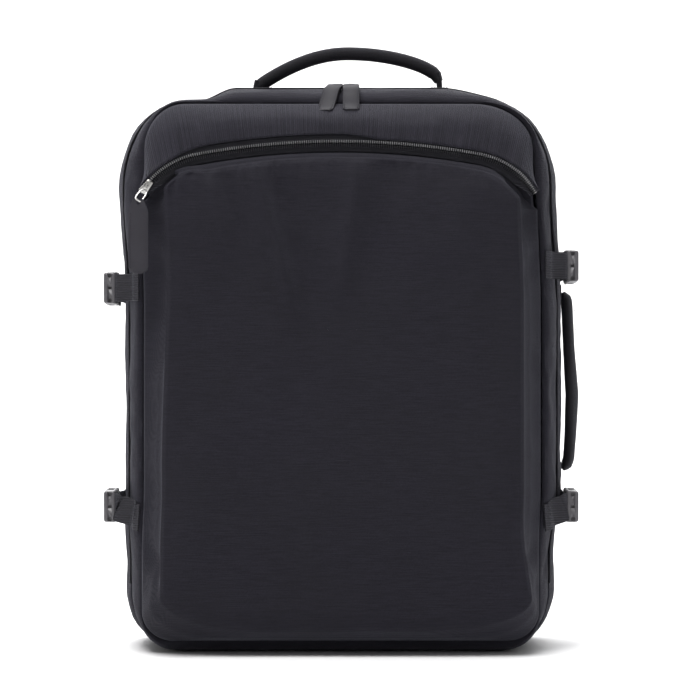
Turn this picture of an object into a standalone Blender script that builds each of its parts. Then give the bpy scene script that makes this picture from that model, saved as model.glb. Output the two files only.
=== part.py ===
"""Travel backpack: a clamshell cabin bag with a curved-zip front pocket.

Metres, +Z up. The front faces -Y, the shoulder straps are at +Y, and the bag stands on z = 0.
The rear shell is the root. The front lid swings down about a fabric hinge along the bottom edge.
"""

import math

import bmesh
import bpy
from mathutils import Matrix, Vector

COLLECTION = "travel_backpack"
GAP = 0.0003
RIM_GAP = 0.0012

# bag body
BODY_HALF = 0.2025
BODY_TOP = 0.5005
CROWN = 0.0115
CROWN_FLAT = 0.092
CROWN_END = 0.128
TOP_CORNER = (0.060, 0.078)  # a corner's width and height
LOW_CORNER = (0.045, 0.052)
ZIP_HALF = 0.1945
ZIP_Y = -0.036
ZIP_TAPE = 0.0055
ZIP_END = 0.058
BACK_Y = 0.088
SKIN = 0.0025

# front lid
SEAM_Y = -0.072
SEAM_HALF = 0.181
SEAM_LOW = 0.0125
SEAM_TOP = 0.495
SEAM_TOP_CORNER = (0.045, 0.060)
SEAM_LOW_CORNER = (0.022, 0.022)

# front pocket and its curved zip
POCKET_Y = -0.110
FOLD_Y = -0.104
FOLD_HALF = 0.162
FOLD_LOW = 0.020
POCKET_SKIN = 0.0015
ARCH_TOP = 0.457
ARCH_RADIUS = 0.700
ARCH_HALF = 0.1255
ARCH_CORNER = 0.075
ARCH_END_DEG = 57.0
ARCH_FADE_DEG = 40.0
CHAIN_Y = -0.0965
TAPE_EDGE = 0.0088
POCKET_CORNER = (0.085, 0.042)
POCKET_SLIDER_DEG = 52.0
PULL_PLANE = 0.1118

# webbing and side-release buckles
WEB = 0.025
WEB_THICK = 0.0012
BUCKLE_INNER = 0.2044
BUCKLE_THICK = 0.0113
BUCKLE_HIGH = 0.031
FEMALE_FRONT = -0.0505
FEMALE_LONG = 0.0300
MALE_LONG = 0.0180
PRONG_LONG = 0.0170
BUCKLE_Z = {
    "left_upper": 0.329,
    "right_upper": 0.349,
    "left_lower": 0.1305,
    "right_lower": 0.1305,
}

# handles
HANDLE_Y = -0.019
HANDLE_LEFT = -0.071
HANDLE_RIGHT = 0.090
HANDLE_APEX = 0.5447
HANDLE_RADIUS = 0.0060
HANDLE_PIVOT_Z = 0.5200
SIDE_HANDLE_X = 0.2078
SIDE_HANDLE_Y = 0.016
SIDE_HANDLE_LOW = 0.162
SIDE_HANDLE_HIGH = 0.326
SIDE_HANDLE_RADIUS = 0.0043
SIDE_HANDLE_BOW = 0.0074

# zip sliders of the main zip
SLIDER_LONG = 0.0130
SLIDER_WIDE = 0.0086
SLIDER_HIGH = 0.0046
SLIDER_X = {"left": -0.0045, "right": 0.0100}
PULL_WIDE = 0.0145
PULL_LONG = 0.0340

# back panel and shoulder straps
PAD_THICK = 0.0085
STRAP_THICK = 0.0118
STRAP_TOP = 0.478
STRAP_LOW = 0.175
STRAP_WIDE = 0.066

COLOURS = {
    "shell_fabric": (0.021, 0.020, 0.026, 0.82, 0.0),
    "lining": (0.060, 0.060, 0.066, 0.85, 0.0),
    "foam_board": (0.120, 0.120, 0.125, 0.90, 0.0),
    "air_mesh": (0.015, 0.015, 0.017, 0.90, 0.0),
    "webbing": (0.024, 0.024, 0.029, 0.75, 0.0),
    "zip_tape": (0.016, 0.016, 0.018, 0.80, 0.0),
    "buckle_plastic": (0.120, 0.118, 0.125, 0.42, 0.0),
    "handle_fabric": (0.018, 0.018, 0.021, 0.75, 0.0),
    "zip_metal": (0.550, 0.550, 0.540, 0.30, 1.0),
    "pull_rubber": (0.035, 0.034, 0.040, 0.60, 0.0),
}


def clear_scene():
    for item in list(bpy.data.objects):
        bpy.data.objects.remove(item, do_unlink=True)
    for name in (COLLECTION, "cutters"):
        bpy.context.scene.collection.children.link(bpy.data.collections.new(name))


def material(name):
    found = bpy.data.materials.get(name)
    if found:
        return found
    made = bpy.data.materials.new(name)
    made.use_nodes = True
    shader = made.node_tree.nodes["Principled BSDF"]
    red, green, blue, roughness, metallic = COLOURS[name]
    shader.inputs["Base Color"].default_value = (red, green, blue, 1.0)
    shader.inputs["Roughness"].default_value = roughness
    shader.inputs["Metallic"].default_value = metallic
    return made


def add_object(name, data, finish, collection=COLLECTION):
    made = bpy.data.objects.new(name, data)
    bpy.data.collections[collection].objects.link(made)
    if finish:
        made.data.materials.append(material(finish))
    return made


def from_bmesh(name, work, finish, smooth=False):
    data = bpy.data.meshes.new(name)
    bmesh.ops.recalc_face_normals(work, faces=work.faces)
    work.to_mesh(data)
    work.free()
    if smooth:
        data.shade_smooth()
        data.set_sharp_from_angle(angle=math.radians(40))
    return add_object(name, data, finish)


def bevelled(made, width, segments=2):
    step = made.modifiers.new("rounded_edges", "BEVEL")
    step.width = width
    step.segments = segments
    step.limit_method = "ANGLE"
    step.angle_limit = math.radians(40)
    return made


def solidified(made, thickness, outward=False):
    step = made.modifiers.new("skin", "SOLIDIFY")
    step.thickness = thickness
    step.offset = 1.0 if outward else -1.0
    step.use_even_offset = True
    return made


def block(name, low, high, finish, bevel=0.0, segments=2):
    """A box between two corners."""
    work = bmesh.new()
    size = Vector(high) - Vector(low)
    centre = (Vector(high) + Vector(low)) / 2
    place = Matrix.Translation(centre) @ Matrix.Diagonal((*size, 1.0))
    bmesh.ops.create_cube(work, size=1.0, matrix=place)
    made = from_bmesh(name, work, finish)
    return bevelled(made, bevel, segments) if bevel else made


def cut_by(target, low, high):
    """Cuts a box-shaped opening out of target."""
    cutter = block("cutter_" + target.name, low, high, None)
    bpy.data.collections[COLLECTION].objects.unlink(cutter)
    bpy.data.collections["cutters"].objects.link(cutter)
    cutter.display_type = "WIRE"
    cutter.hide_render = True
    step = target.modifiers.new("opening", "BOOLEAN")
    step.operation = "DIFFERENCE"
    step.solver = "EXACT"
    step.object = cutter
    return target


def loft(name, rings, finish, closed=True, cap_last=False, smooth=True):
    """A skin through rings with the same number of points."""
    work = bmesh.new()
    rows = [[work.verts.new(point) for point in ring] for ring in rings]
    count = len(rings[0])
    for row, following in zip(rows, rows[1:]):
        for i in range(count if closed else count - 1):
            j = (i + 1) % count
            work.faces.new((row[i], row[j], following[j], following[i]))
    if cap_last:
        work.faces.new(rows[-1])
    return from_bmesh(name, work, finish, smooth)


def ribbon(name, path, across, width, thickness, finish):
    """Flat webbing along a path, width wide in the direction across."""
    half = Vector(across).normalized() * width / 2
    rings = [[Vector(p) - half for p in path], [Vector(p) + half for p in path]]
    made = loft(name, rings, finish, closed=False, smooth=False)
    step = solidified(made, thickness).modifiers["skin"]
    step.offset = 0.0
    return made


def tube(name, path, radius, finish, resolution=2):
    """A round cord or grip along a smooth path."""
    curve = bpy.data.curves.new(name, "CURVE")
    curve.dimensions = "3D"
    curve.bevel_depth = radius
    curve.bevel_resolution = resolution
    curve.use_fill_caps = True
    line = curve.splines.new("POLY")
    line.points.add(len(path) - 1)
    for point, place in zip(line.points, path):
        point.co = (*place, 1.0)
    return add_object(name, curve, finish)


def flat_shape(name, outlines, thickness, finish, matrix):
    """A flat outline, with any holes, thickness thick and placed by matrix."""
    curve = bpy.data.curves.new(name, "CURVE")
    curve.dimensions = "2D"
    curve.fill_mode = "BOTH"
    curve.extrude = thickness / 2
    for outline in outlines:
        line = curve.splines.new("POLY")
        line.points.add(len(outline) - 1)
        for point, (across, up) in zip(line.points, outline):
            point.co = (across, up, 0.0, 1.0)
        line.use_cyclic_u = True
    made = add_object(name, curve, finish)
    made.matrix_world = matrix
    return made


def arc(centre, reach, start_deg, end_deg, steps):
    """Points on an ellipse that reaches (wide, tall) from its centre, angle from +X towards +Z."""
    angles = [start_deg + (end_deg - start_deg) * i / steps for i in range(steps + 1)]
    return [
        (
            centre[0] + reach[0] * math.cos(math.radians(a)),
            centre[1] + reach[1] * math.sin(math.radians(a)),
        )
        for a in angles
    ]


def tighter(corner, amount):
    """A corner's width and height, both made smaller."""
    return (corner[0] - amount, corner[1] - amount)


def smooth_step(value):
    t = min(1.0, max(0.0, value))
    return t * t * (3 - 2 * t)


def bump(x, height):
    """Extra height of the crowned top edge at x."""
    return height * smooth_step((CROWN_END - abs(x)) / (CROWN_END - CROWN_FLAT))


def body_outline(half, low, top, low_corner, top_corner, crown, y):
    """Rounded outline of the bag in one cross-section, with the crowned top edge."""
    low_x, low_z = half - low_corner[0], low + low_corner[1]
    top_x, top_z = half - top_corner[0], top - top_corner[1]
    middle = (CROWN_END + CROWN_FLAT) / 2
    points = arc((low_x, low_z), low_corner, -90, 0, 3)
    points += arc((top_x, top_z), top_corner, 0, 90, 4)
    for x in (CROWN_END, middle, CROWN_FLAT, 0.0, -CROWN_FLAT, -middle, -CROWN_END):
        points.append((x, top + bump(x, crown)))
    points += arc((-top_x, top_z), top_corner, 90, 180, 4)
    points += arc((-low_x, low_z), low_corner, 180, 270, 3)
    return [(x, y, z) for x, z in points]


def section(half, inset, y):
    """A body section, inset from the largest outline."""
    low_corner, top_corner = tighter(LOW_CORNER, inset / 2), tighter(TOP_CORNER, inset / 2)
    return body_outline(half, inset, BODY_TOP - inset, low_corner, top_corner, CROWN, y)


def arch_point(t, shift=0.0):
    """Point on the pocket zip's arch, t from -1 at its left end to 1, moved outwards by shift."""
    start = math.asin(ARCH_HALF / ARCH_RADIUS)
    flat = ARCH_RADIUS * start
    bend = ARCH_CORNER * (math.radians(ARCH_END_DEG) - start)
    along = abs(t) * (flat + bend)
    side = 1.0 if t >= 0 else -1.0
    if along <= flat:
        angle = along / ARCH_RADIUS
        centre_x, centre_z, radius = 0.0, ARCH_TOP - ARCH_RADIUS, ARCH_RADIUS
    else:
        angle = start + (along - flat) / ARCH_CORNER
        centre_x, centre_z = arch_corner_centre()
        radius = ARCH_CORNER
    return (
        side * (centre_x + (radius + shift) * math.sin(angle)),
        centre_z + (radius + shift) * math.cos(angle),
    )


def arch_corner_centre():
    """Centre of the right-hand corner arc of the pocket zip."""
    start = math.asin(ARCH_HALF / ARCH_RADIUS)
    drop = ARCH_RADIUS * (1 - math.cos(start))
    return (
        ARCH_HALF - ARCH_CORNER * math.sin(start),
        ARCH_TOP - drop - ARCH_CORNER * math.cos(start),
    )


def arch_run(shift, y, steps=16):
    """The whole arch from left to right. It narrows and sinks towards its two ends."""
    run = []
    for i in range(steps + 1):
        t = -1 + 2 * i / steps
        fade = smooth_step((abs(t) - arch_share(ARCH_FADE_DEG)) / (1 - arch_share(ARCH_FADE_DEG)))
        x, z = arch_point(t, shift * (1 - 0.5 * fade))
        run.append((x, y + 0.004 * fade, z))
    return run


def arch_share(degrees):
    """Where on the arch, from 0 at its middle to 1 at its end, the corner arc has turned this far."""
    start = math.asin(ARCH_HALF / ARCH_RADIUS)
    flat = ARCH_RADIUS * start
    whole = flat + ARCH_CORNER * (math.radians(ARCH_END_DEG) - start)
    return (flat + ARCH_CORNER * (math.radians(degrees) - start)) / whole


def make_rear_shell():
    rings = [
        section(ZIP_HALF, 0.004, ZIP_Y + ZIP_TAPE + GAP),
        section(BODY_HALF - 0.002, 0.001, ZIP_Y + 0.025),
        section(BODY_HALF, 0.0, 0.020),
        section(BODY_HALF - 0.001, 0.002, 0.060),
        section(BODY_HALF - 0.006, 0.007, BACK_Y - 0.009),
        section(BODY_HALF - 0.018, 0.019, BACK_Y),
    ]
    flat_bottom(rings)
    solidified(loft("rear_shell", rings, "shell_fabric", cap_last=True), SKIN)


def flat_bottom(rings):
    """Lets the lowest points of all but the last ring rest on the ground."""
    for ring in rings[:-1]:
        for i, (x, y, z) in enumerate(ring):
            if z < 0.012 and abs(x) < BODY_HALF - LOW_CORNER[0] + 0.002:
                ring[i] = (x, y, 0.0)


def make_lid_gusset():
    rings = [
        section(ZIP_HALF, 0.004, ZIP_Y - ZIP_TAPE - RIM_GAP),
        body_outline(0.1895, 0.0045, 0.4965, (0.038, 0.044), (0.054, 0.070), 0.0110, -0.055),
        body_outline(SEAM_HALF, SEAM_LOW, SEAM_TOP, SEAM_LOW_CORNER, SEAM_TOP_CORNER, 0.0, SEAM_Y),
    ]
    flat_bottom(rings[:2])
    solidified(loft("lid_gusset", rings, "shell_fabric"), SKIN)


def make_front_panel():
    inset = SKIN + 2 * GAP
    low_corner, top_corner = tighter(SEAM_LOW_CORNER, inset), tighter(SEAM_TOP_CORNER, inset)
    ring = body_outline(
        SEAM_HALF - inset, SEAM_LOW + inset, SEAM_TOP - inset, low_corner, top_corner, 0.0, 0.0
    )
    outline = [(x, z) for x, _, z in ring]
    place = Matrix.Translation((0, SEAM_Y + 0.001, 0)) @ Matrix.Rotation(math.pi / 2, 4, "X")
    flat_shape("front_panel", [outline], 0.002, "lining", place)


def main_zip_path(y):
    """The zip's line from the lower left, over the top, to the lower right."""
    ring = section(ZIP_HALF, 0.004, y)
    upper = [p for p in ring if p[2] > BODY_TOP / 2]
    right_end, left_end = (ZIP_HALF, y, ZIP_END), (-ZIP_HALF, y, ZIP_END)
    return [right_end, *upper, left_end]


def hinge_path(y):
    """The rest of the zip's line: the fabric hinge under the bag, below the zip's two ends."""
    ring = section(ZIP_HALF, 0.004, y)
    right = [p for p in ring if p[2] < BODY_TOP / 2 and p[0] > 0]
    left = [p for p in ring if p[2] < BODY_TOP / 2 and p[0] < 0]
    flat_bottom([right, left, []])
    return [*left, *right]


def make_main_zip():
    for half, front, back in (
        ("front", ZIP_Y - ZIP_TAPE, ZIP_Y - GAP / 2),
        ("rear", ZIP_Y + GAP / 2, ZIP_Y + ZIP_TAPE),
    ):
        rows = [main_zip_path(front), main_zip_path(back)]
        solidified(loft(f"main_zip_{half}_tape", rows, "zip_tape", closed=False), 0.0018)
        rows = [hinge_path(front), hinge_path(back)]
        solidified(loft(f"hinge_fabric_{half}", rows, "shell_fabric", closed=False), 0.0018)


def pouch_ring(side, low, drop, y_side, y_top):
    """Closed outline of the pocket: its top follows the zip's arch, drop below it."""
    wide, tall = POCKET_CORNER
    points = [(x, y_side, z) for x, z in arc((side - wide, low + tall), POCKET_CORNER, -90, 0, 4)]
    points += [(side, y_side, 0.17), (side, y_side, 0.30)]
    arch = []
    steps = 16
    for i in range(steps + 1):
        t = 1 - 2 * i / steps
        x, z = arch_point(t, -drop)
        share = smooth_step((1 - abs(t)) / 0.3)
        x = math.copysign(min(abs(x), side), x)
        arch.append((x, y_side + (y_top - y_side) * share, z))
    points += arch
    points += [(-side, y_side, 0.30), (-side, y_side, 0.17)]
    points += [(x, y_side, z) for x, z in arc((wide - side, low + tall), POCKET_CORNER, 180, 270, 4)]
    return points


def make_pocket():
    lower_edge = TAPE_EDGE + GAP
    rings = [
        pouch_ring(0.1795, 0.0145, lower_edge, SEAM_Y - RIM_GAP, CHAIN_Y - 0.002),
        pouch_ring(0.1735, 0.0165, lower_edge + 0.003, SEAM_Y - 0.018, CHAIN_Y - 0.005),
        pouch_ring(FOLD_HALF, FOLD_LOW, lower_edge + 0.008, FOLD_Y, FOLD_Y),
        pouch_ring(0.150, 0.032, lower_edge + 0.022, POCKET_Y + 0.0025, POCKET_Y + 0.0025),
        pouch_ring(0.110, 0.072, lower_edge + 0.060, POCKET_Y, POCKET_Y),
    ]
    face = loft("pocket_face", rings, "shell_fabric", cap_last=True)
    solidified(face, POCKET_SKIN)
    seam = seam_run(16)
    middle = arch_run(0.024, CHAIN_Y + 0.014)
    upper = arch_run(lower_edge, CHAIN_Y)
    middle = [((a[0] + c[0]) / 2, b[1], (a[2] + c[2]) / 2) for a, b, c in zip(seam, middle, upper)]
    band = loft("pocket_top_band", [seam, middle, upper], "shell_fabric", closed=False)
    solidified(band, POCKET_SKIN, outward=True)


def seam_run(steps):
    """The front seam from the zip's left end over the top to its right end."""
    inner = 0.0015
    wide, tall = corner = tighter(SEAM_TOP_CORNER, inner)
    half, top = SEAM_HALF - inner, SEAM_TOP - inner
    left = [(-half, 0.4265), (-half, 0.431)]
    left += arc((wide - half, top - tall), corner, 180, 90, 4)
    flat = steps + 1 - 2 * len(left)
    reach = half - wide
    middle = [(-reach + 2 * reach * (i + 1) / (flat + 1), top) for i in range(flat)]
    right = [(-x, z) for x, z in reversed(left)]
    return [(x, SEAM_Y - RIM_GAP, z) for x, z in left + middle + right]


def make_pocket_zip():
    for name, near, far in (
        ("pocket_zip_upper_tape", GAP / 2, TAPE_EDGE),
        ("pocket_zip_lower_tape", -GAP / 2, -TAPE_EDGE),
    ):
        rings = [arch_run(near, CHAIN_Y - 0.0005), arch_run(far, CHAIN_Y - 0.0005)]
        solidified(loft(name, rings, "zip_tape", closed=False), 0.0012).modifiers["skin"].offset = 0.0


def side_sign(where):
    return -1.0 if where.startswith("left") else 1.0


def make_buckle(where):
    """One compression buckle: socket on the lid, plug and rear webbing on the shell."""
    side = side_sign(where)
    z = BUCKLE_Z[where]
    inner, outer = BUCKLE_INNER, BUCKLE_INNER + BUCKLE_THICK
    middle = (inner + outer) / 2
    mouth = FEMALE_FRONT + FEMALE_LONG

    def placed(x_low, x_high, y_low, y_high, z_low, z_high):
        xs = sorted((side * x_low, side * x_high))
        return (xs[0], y_low, z + z_low), (xs[1], y_high, z + z_high)

    half = BUCKLE_HIGH / 2
    corners = placed(inner, outer, FEMALE_FRONT, mouth, -half, half)
    socket = block(f"buckle_socket_{where}", *corners, "buckle_plastic", 0.0022)
    cut_by(socket, *placed(middle - 0.0034, middle + 0.0034, mouth - 0.0195, mouth + 0.01, -0.0128, 0.0128))
    cut_by(socket, *placed(middle - 0.0024, middle + 0.0024, mouth - 0.0165, mouth - 0.0065, -0.03, 0.03))
    cut_by(socket, *placed(0.19, 0.24, FEMALE_FRONT + 0.0035, FEMALE_FRONT + 0.0071, -0.013, 0.013))

    fork = fork_outline()
    hole = [(-0.013, 0.0085), (0.013, 0.0085), (0.013, 0.0121), (-0.013, 0.0121)]
    place = Matrix(((0, 0, 1, side * middle), (0, 1, 0, mouth + GAP), (-1, 0, 0, z), (0, 0, 0, 1)))
    flat_shape(f"buckle_plug_{where}", [fork, hole], 0.0056, "buckle_plastic", place)

    start = (side * (SEAM_HALF + 0.0012), SEAM_Y + 0.001, z)
    path = [
        start,
        (side * (SEAM_HALF + 0.0085), SEAM_Y + 0.0060, z),
        (side * 0.1985, -0.0580, z),
        (side * (inner - 0.0012), FEMALE_FRONT + 0.0010, z),
        (side * (inner - 0.0012), FEMALE_FRONT + 0.0100, z),
    ]
    ribbon(f"front_webbing_{where}", path, (0, 0, 1), WEB, WEB_THICK, "webbing")
    rest = BODY_HALF + GAP + WEB_THICK / 2
    path = [
        (side * rest, mouth + 0.0020, z),
        (side * rest, 0.0200, z),
        (side * (rest - 0.0008), 0.0600, z),
        (side * (rest - 0.0042), 0.0760, z),
    ]
    ribbon(f"rear_webbing_{where}", path, (0, 0, 1), WEB, WEB_THICK, "webbing")


def fork_outline():
    """Outline of the plug, across by along, with its two prongs pointing to negative along."""
    half = BUCKLE_HIGH / 2
    right = [
        (0.0045, 0.0),
        (0.0060, -0.0050),
        (0.0090, -PRONG_LONG),
        (0.0112, -PRONG_LONG + 0.0012),
        (0.0120, -PRONG_LONG + 0.0060),
        (0.0095, -0.0070),
        (0.0098, -0.0005),
        (half - 0.002, 0.0),
        (half, 0.0020),
        (half, MALE_LONG - 0.0030),
        (half - 0.003, MALE_LONG),
    ]
    left = [(-x, y) for x, y in reversed(right)]
    return right + left


def make_top_handle():
    """Padded grip: an arch over the top of the shell between two sewn ends."""
    path = []
    steps = 18
    for i in range(steps + 1):
        t = i / steps
        x = HANDLE_LEFT + (HANDLE_RIGHT - HANDLE_LEFT) * t
        rise = math.sin(math.pi * t) ** 0.62 if 0 < t < 1 else 0.0
        path.append((x, HANDLE_Y, HANDLE_PIVOT_Z + (HANDLE_APEX - HANDLE_PIVOT_Z) * rise))
    tube("top_handle", path, HANDLE_RADIUS, "handle_fabric")
    for name, x in (("left", HANDLE_LEFT), ("right", HANDLE_RIGHT)):
        low = (x - 0.007, HANDLE_Y - 0.006, BODY_TOP + CROWN + 0.0003)
        high = (x + 0.007, HANDLE_Y + 0.006, BODY_TOP + CROWN + 0.0013)
        block(f"top_handle_anchor_{name}", low, high, "webbing")


def make_side_handle():
    """Padded grip on the right side, bowed away from the shell."""
    path = []
    steps = 14
    for i in range(steps + 1):
        t = i / steps
        z = SIDE_HANDLE_LOW + (SIDE_HANDLE_HIGH - SIDE_HANDLE_LOW) * t
        rise = math.sin(math.pi * t) ** 0.6 if 0 < t < 1 else 0.0
        path.append((SIDE_HANDLE_X + SIDE_HANDLE_BOW * rise, SIDE_HANDLE_Y, z))
    tube("side_handle", path, SIDE_HANDLE_RADIUS, "handle_fabric")
    for name, z in (("lower", SIDE_HANDLE_LOW), ("upper", SIDE_HANDLE_HIGH)):
        low = (BODY_HALF + GAP, SIDE_HANDLE_Y - 0.012, z - 0.004)
        high = (BODY_HALF + GAP + 0.0005, SIDE_HANDLE_Y + 0.012, z + 0.004)
        block(f"side_handle_anchor_{name}", low, high, "webbing")


def make_main_sliders():
    top = BODY_TOP + CROWN - 0.004
    for name, x in SLIDER_X.items():
        base = top + GAP
        low = (x - SLIDER_LONG / 2, ZIP_Y - SLIDER_WIDE / 2, base)
        high = (x + SLIDER_LONG / 2, ZIP_Y + SLIDER_WIDE / 2, base + SLIDER_HIGH)
        block(f"main_slider_{name}", low, high, "zip_metal", 0.0012)
        start = (x, ZIP_Y - 0.0015, base + SLIDER_HIGH + 0.0020)
        slope = Vector((-0.30 if name == "left" else 0.0, -0.90, -0.34)).normalized()
        path = [
            start,
            (start[0], start[1] - 0.0045, start[2] + 0.0004),
            Vector((start[0], start[1] - 0.0045, start[2] + 0.0004)) + slope * (PULL_LONG - 0.0045),
        ]
        across = Vector((1, 0, 0)) - slope * slope.x
        ribbon(f"main_pull_{name}", path, across, PULL_WIDE, 0.0018, "pull_rubber")


def pocket_slider_place():
    """Centre of the pocket slider on the left corner arc."""
    centre_x, centre_z = arch_corner_centre()
    angle = math.radians(POCKET_SLIDER_DEG)
    return Vector(
        (
            -(centre_x + ARCH_CORNER * math.sin(angle)),
            CHAIN_Y - 0.0038,
            centre_z + ARCH_CORNER * math.cos(angle),
        )
    )


def make_pocket_slider():
    place = pocket_slider_place()
    turn = Matrix.Translation(place) @ Matrix.Rotation(math.radians(-POCKET_SLIDER_DEG), 4, "Y")
    work = bmesh.new()
    size = Matrix.Diagonal((SLIDER_LONG, 0.0048, SLIDER_WIDE, 1.0))
    bmesh.ops.create_cube(work, size=1.0, matrix=turn @ size)
    bevelled(from_bmesh("pocket_slider", work, "zip_metal"), 0.0012)

    hook = Vector((place.x - 0.0030, place.y - 0.0038, place.z - 0.0042))
    eye = Vector((place.x - 0.0085, -PULL_PLANE, place.z - 0.0115))
    across = Vector((hook.z - eye.z, 0, eye.x - hook.x)).normalized() * 0.0030
    path = [hook + across, eye + across, eye - across, hook - across]
    loop = tube("pocket_wire_loop", path, 0.0006, "zip_metal", 1)
    loop.data.splines[0].use_cyclic_u = True
    loop.data.use_fill_caps = False

    top = eye.z - 0.0042
    width, length, corner = 0.0175, 0.062, 0.0055
    reach = (corner, corner)
    outline = [(-0.0035, 0.0), (-width / 2, -0.010)]
    outline += [(x, z) for x, z in arc((corner - width / 2, corner - length), reach, 180, 270, 3)]
    outline += [(x, z) for x, z in arc((width / 2 - corner, corner - length), reach, 270, 360, 3)]
    outline += [(width / 2, -0.010), (0.0035, 0.0)]
    spot = Matrix.Translation((eye.x, eye.y, top)) @ Matrix.Rotation(math.pi / 2, 4, "X")
    flat_shape("pocket_pull", [outline], 0.0020, "pull_rubber", spot)


def make_inside():
    """What the two halves hold: stiffener, laptop sleeve, packing straps and mesh pocket."""
    back = BACK_Y - SKIN - GAP
    block("back_board", (-0.160, back - 0.003, 0.030), (0.160, back, 0.470), "foam_board")
    front = back - 0.003 - GAP
    sleeve = block("laptop_sleeve", (-0.150, front - 0.024, 0.022), (0.150, front, 0.350), "lining")
    cut_by(sleeve, (-0.147, front - 0.021, 0.025), (0.147, front - 0.0015, 0.40))
    face = front - 0.024
    block("sleeve_strap", (-0.0175, face - 0.0019, 0.300), (0.0175, face - GAP, 0.372), "webbing")
    strap = face - 0.0022
    for name, side in (("left", -1.0), ("right", 1.0)):
        path = [
            (side * (BODY_HALF - SKIN - 0.0020), 0.040, 0.230),
            (side * 0.165, strap - 0.0010, 0.230),
            (side * 0.022, strap - 0.0010, 0.230),
        ]
        ribbon(f"packing_strap_{name}", path, (0, 0, 1), WEB, WEB_THICK, "webbing")
    block(
        "packing_buckle",
        (-0.0215, strap - 0.0075, 0.2140),
        (0.0215, strap - GAP, 0.2460),
        "buckle_plastic",
        0.002,
    )
    pocket_y = ZIP_Y - 0.014
    block("lid_mesh_pocket", (-0.160, pocket_y - 0.001, 0.030), (0.160, pocket_y, 0.360), "air_mesh")
    block(
        "lid_mesh_binding",
        (-0.160, pocket_y - 0.0020, 0.360 + GAP),
        (0.160, pocket_y + 0.0010, 0.366),
        "webbing",
    )


def strap_outline(side):
    """Padded shoulder strap seen from behind: a tapered S between the yoke and its lower end."""
    steps = 10
    inner, outer = [], []
    for i in range(steps + 1):
        t = i / steps
        z = STRAP_TOP + (STRAP_LOW - STRAP_TOP) * t
        centre = 0.056 + 0.052 * math.sin(math.pi * min(1.0, t * 1.05)) ** 1.2 + 0.030 * t
        half = STRAP_WIDE / 2 * (0.92 + 0.12 * math.sin(math.pi * t) - 0.40 * max(0.0, t - 0.55) / 0.45)
        inner.append((side * (centre - half), z))
        outer.append((side * (centre + half), z))
    return inner + list(reversed(outer))


def make_back():
    """Back pads, shoulder straps and their lower webbing."""
    low, high = BACK_Y + GAP, BACK_Y + PAD_THICK
    for name, side in (("left", -1.0), ("right", 1.0)):
        xs = sorted((side * 0.012, side * 0.150))
        block(f"back_pad_{name}", (xs[0], low, 0.200), (xs[1], high, 0.468), "air_mesh", 0.004)
    block("lumbar_pad", (-0.150, low, 0.060), (0.150, high, 0.186), "air_mesh", 0.004)

    middle = high + GAP + STRAP_THICK / 2
    upright = Matrix.Translation((0, middle, 0)) @ Matrix.Rotation(math.pi / 2, 4, "X")
    for name, side in (("left", -1.0), ("right", 1.0)):
        flat_shape(f"shoulder_strap_{name}", [strap_outline(side)], STRAP_THICK, "handle_fabric", upright)
        end_x = side * 0.0865
        lock_top = STRAP_LOW - GAP
        frame = [(-0.0165, 0.0), (0.0165, 0.0), (0.0165, -0.026), (-0.0165, -0.026)]
        slots = [
            [(-0.0128, top), (0.0128, top), (0.0128, top - 0.0036), (-0.0128, top - 0.0036)]
            for top in (-0.0040, -0.0112, -0.0184)
        ]
        spot = Matrix.Translation((end_x, middle, lock_top)) @ Matrix.Rotation(math.pi / 2, 4, "X")
        flat_shape(f"ladder_lock_{name}", [frame, *slots], 0.0050, "buckle_plastic", spot)

        tab_top = Vector((side * 0.150, high + 0.0015, 0.042))
        web_top = Vector((end_x, high + 0.0015, lock_top - 0.0110))
        run = web_top - tab_top
        across = Vector((run.z, 0, -run.x))
        ribbon(f"strap_webbing_{name}", [web_top, tab_top], across, WEB, WEB_THICK, "webbing")
        outline = [(-0.014, 0.0), (0.014, 0.0), (0.030, -0.048), (-0.016, -0.048)]
        outline = [(side * x, z) for x, z in outline]
        spot = Matrix.Translation((side * 0.150, (low + high) / 2, 0.058)) @ Matrix.Rotation(math.pi / 2, 4, "X")
        flat_shape(f"strap_anchor_{name}", [outline], high - low, "shell_fabric", spot)


def main():
    clear_scene()
    make_rear_shell()
    make_lid_gusset()
    make_front_panel()
    make_main_zip()
    make_pocket()
    make_pocket_zip()
    for where in BUCKLE_Z:
        make_buckle(where)
    make_top_handle()
    make_side_handle()
    make_main_sliders()
    make_pocket_slider()
    make_inside()
    make_back()


main()
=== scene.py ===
"""Looks of the travel backpack: cloth shells, zips, webbing, buckles, pads and the studio."""

import math

import bmesh
import bpy
import numpy as np
from mathutils import Matrix, Vector, noise
from mathutils.bvhtree import BVHTree


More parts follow.
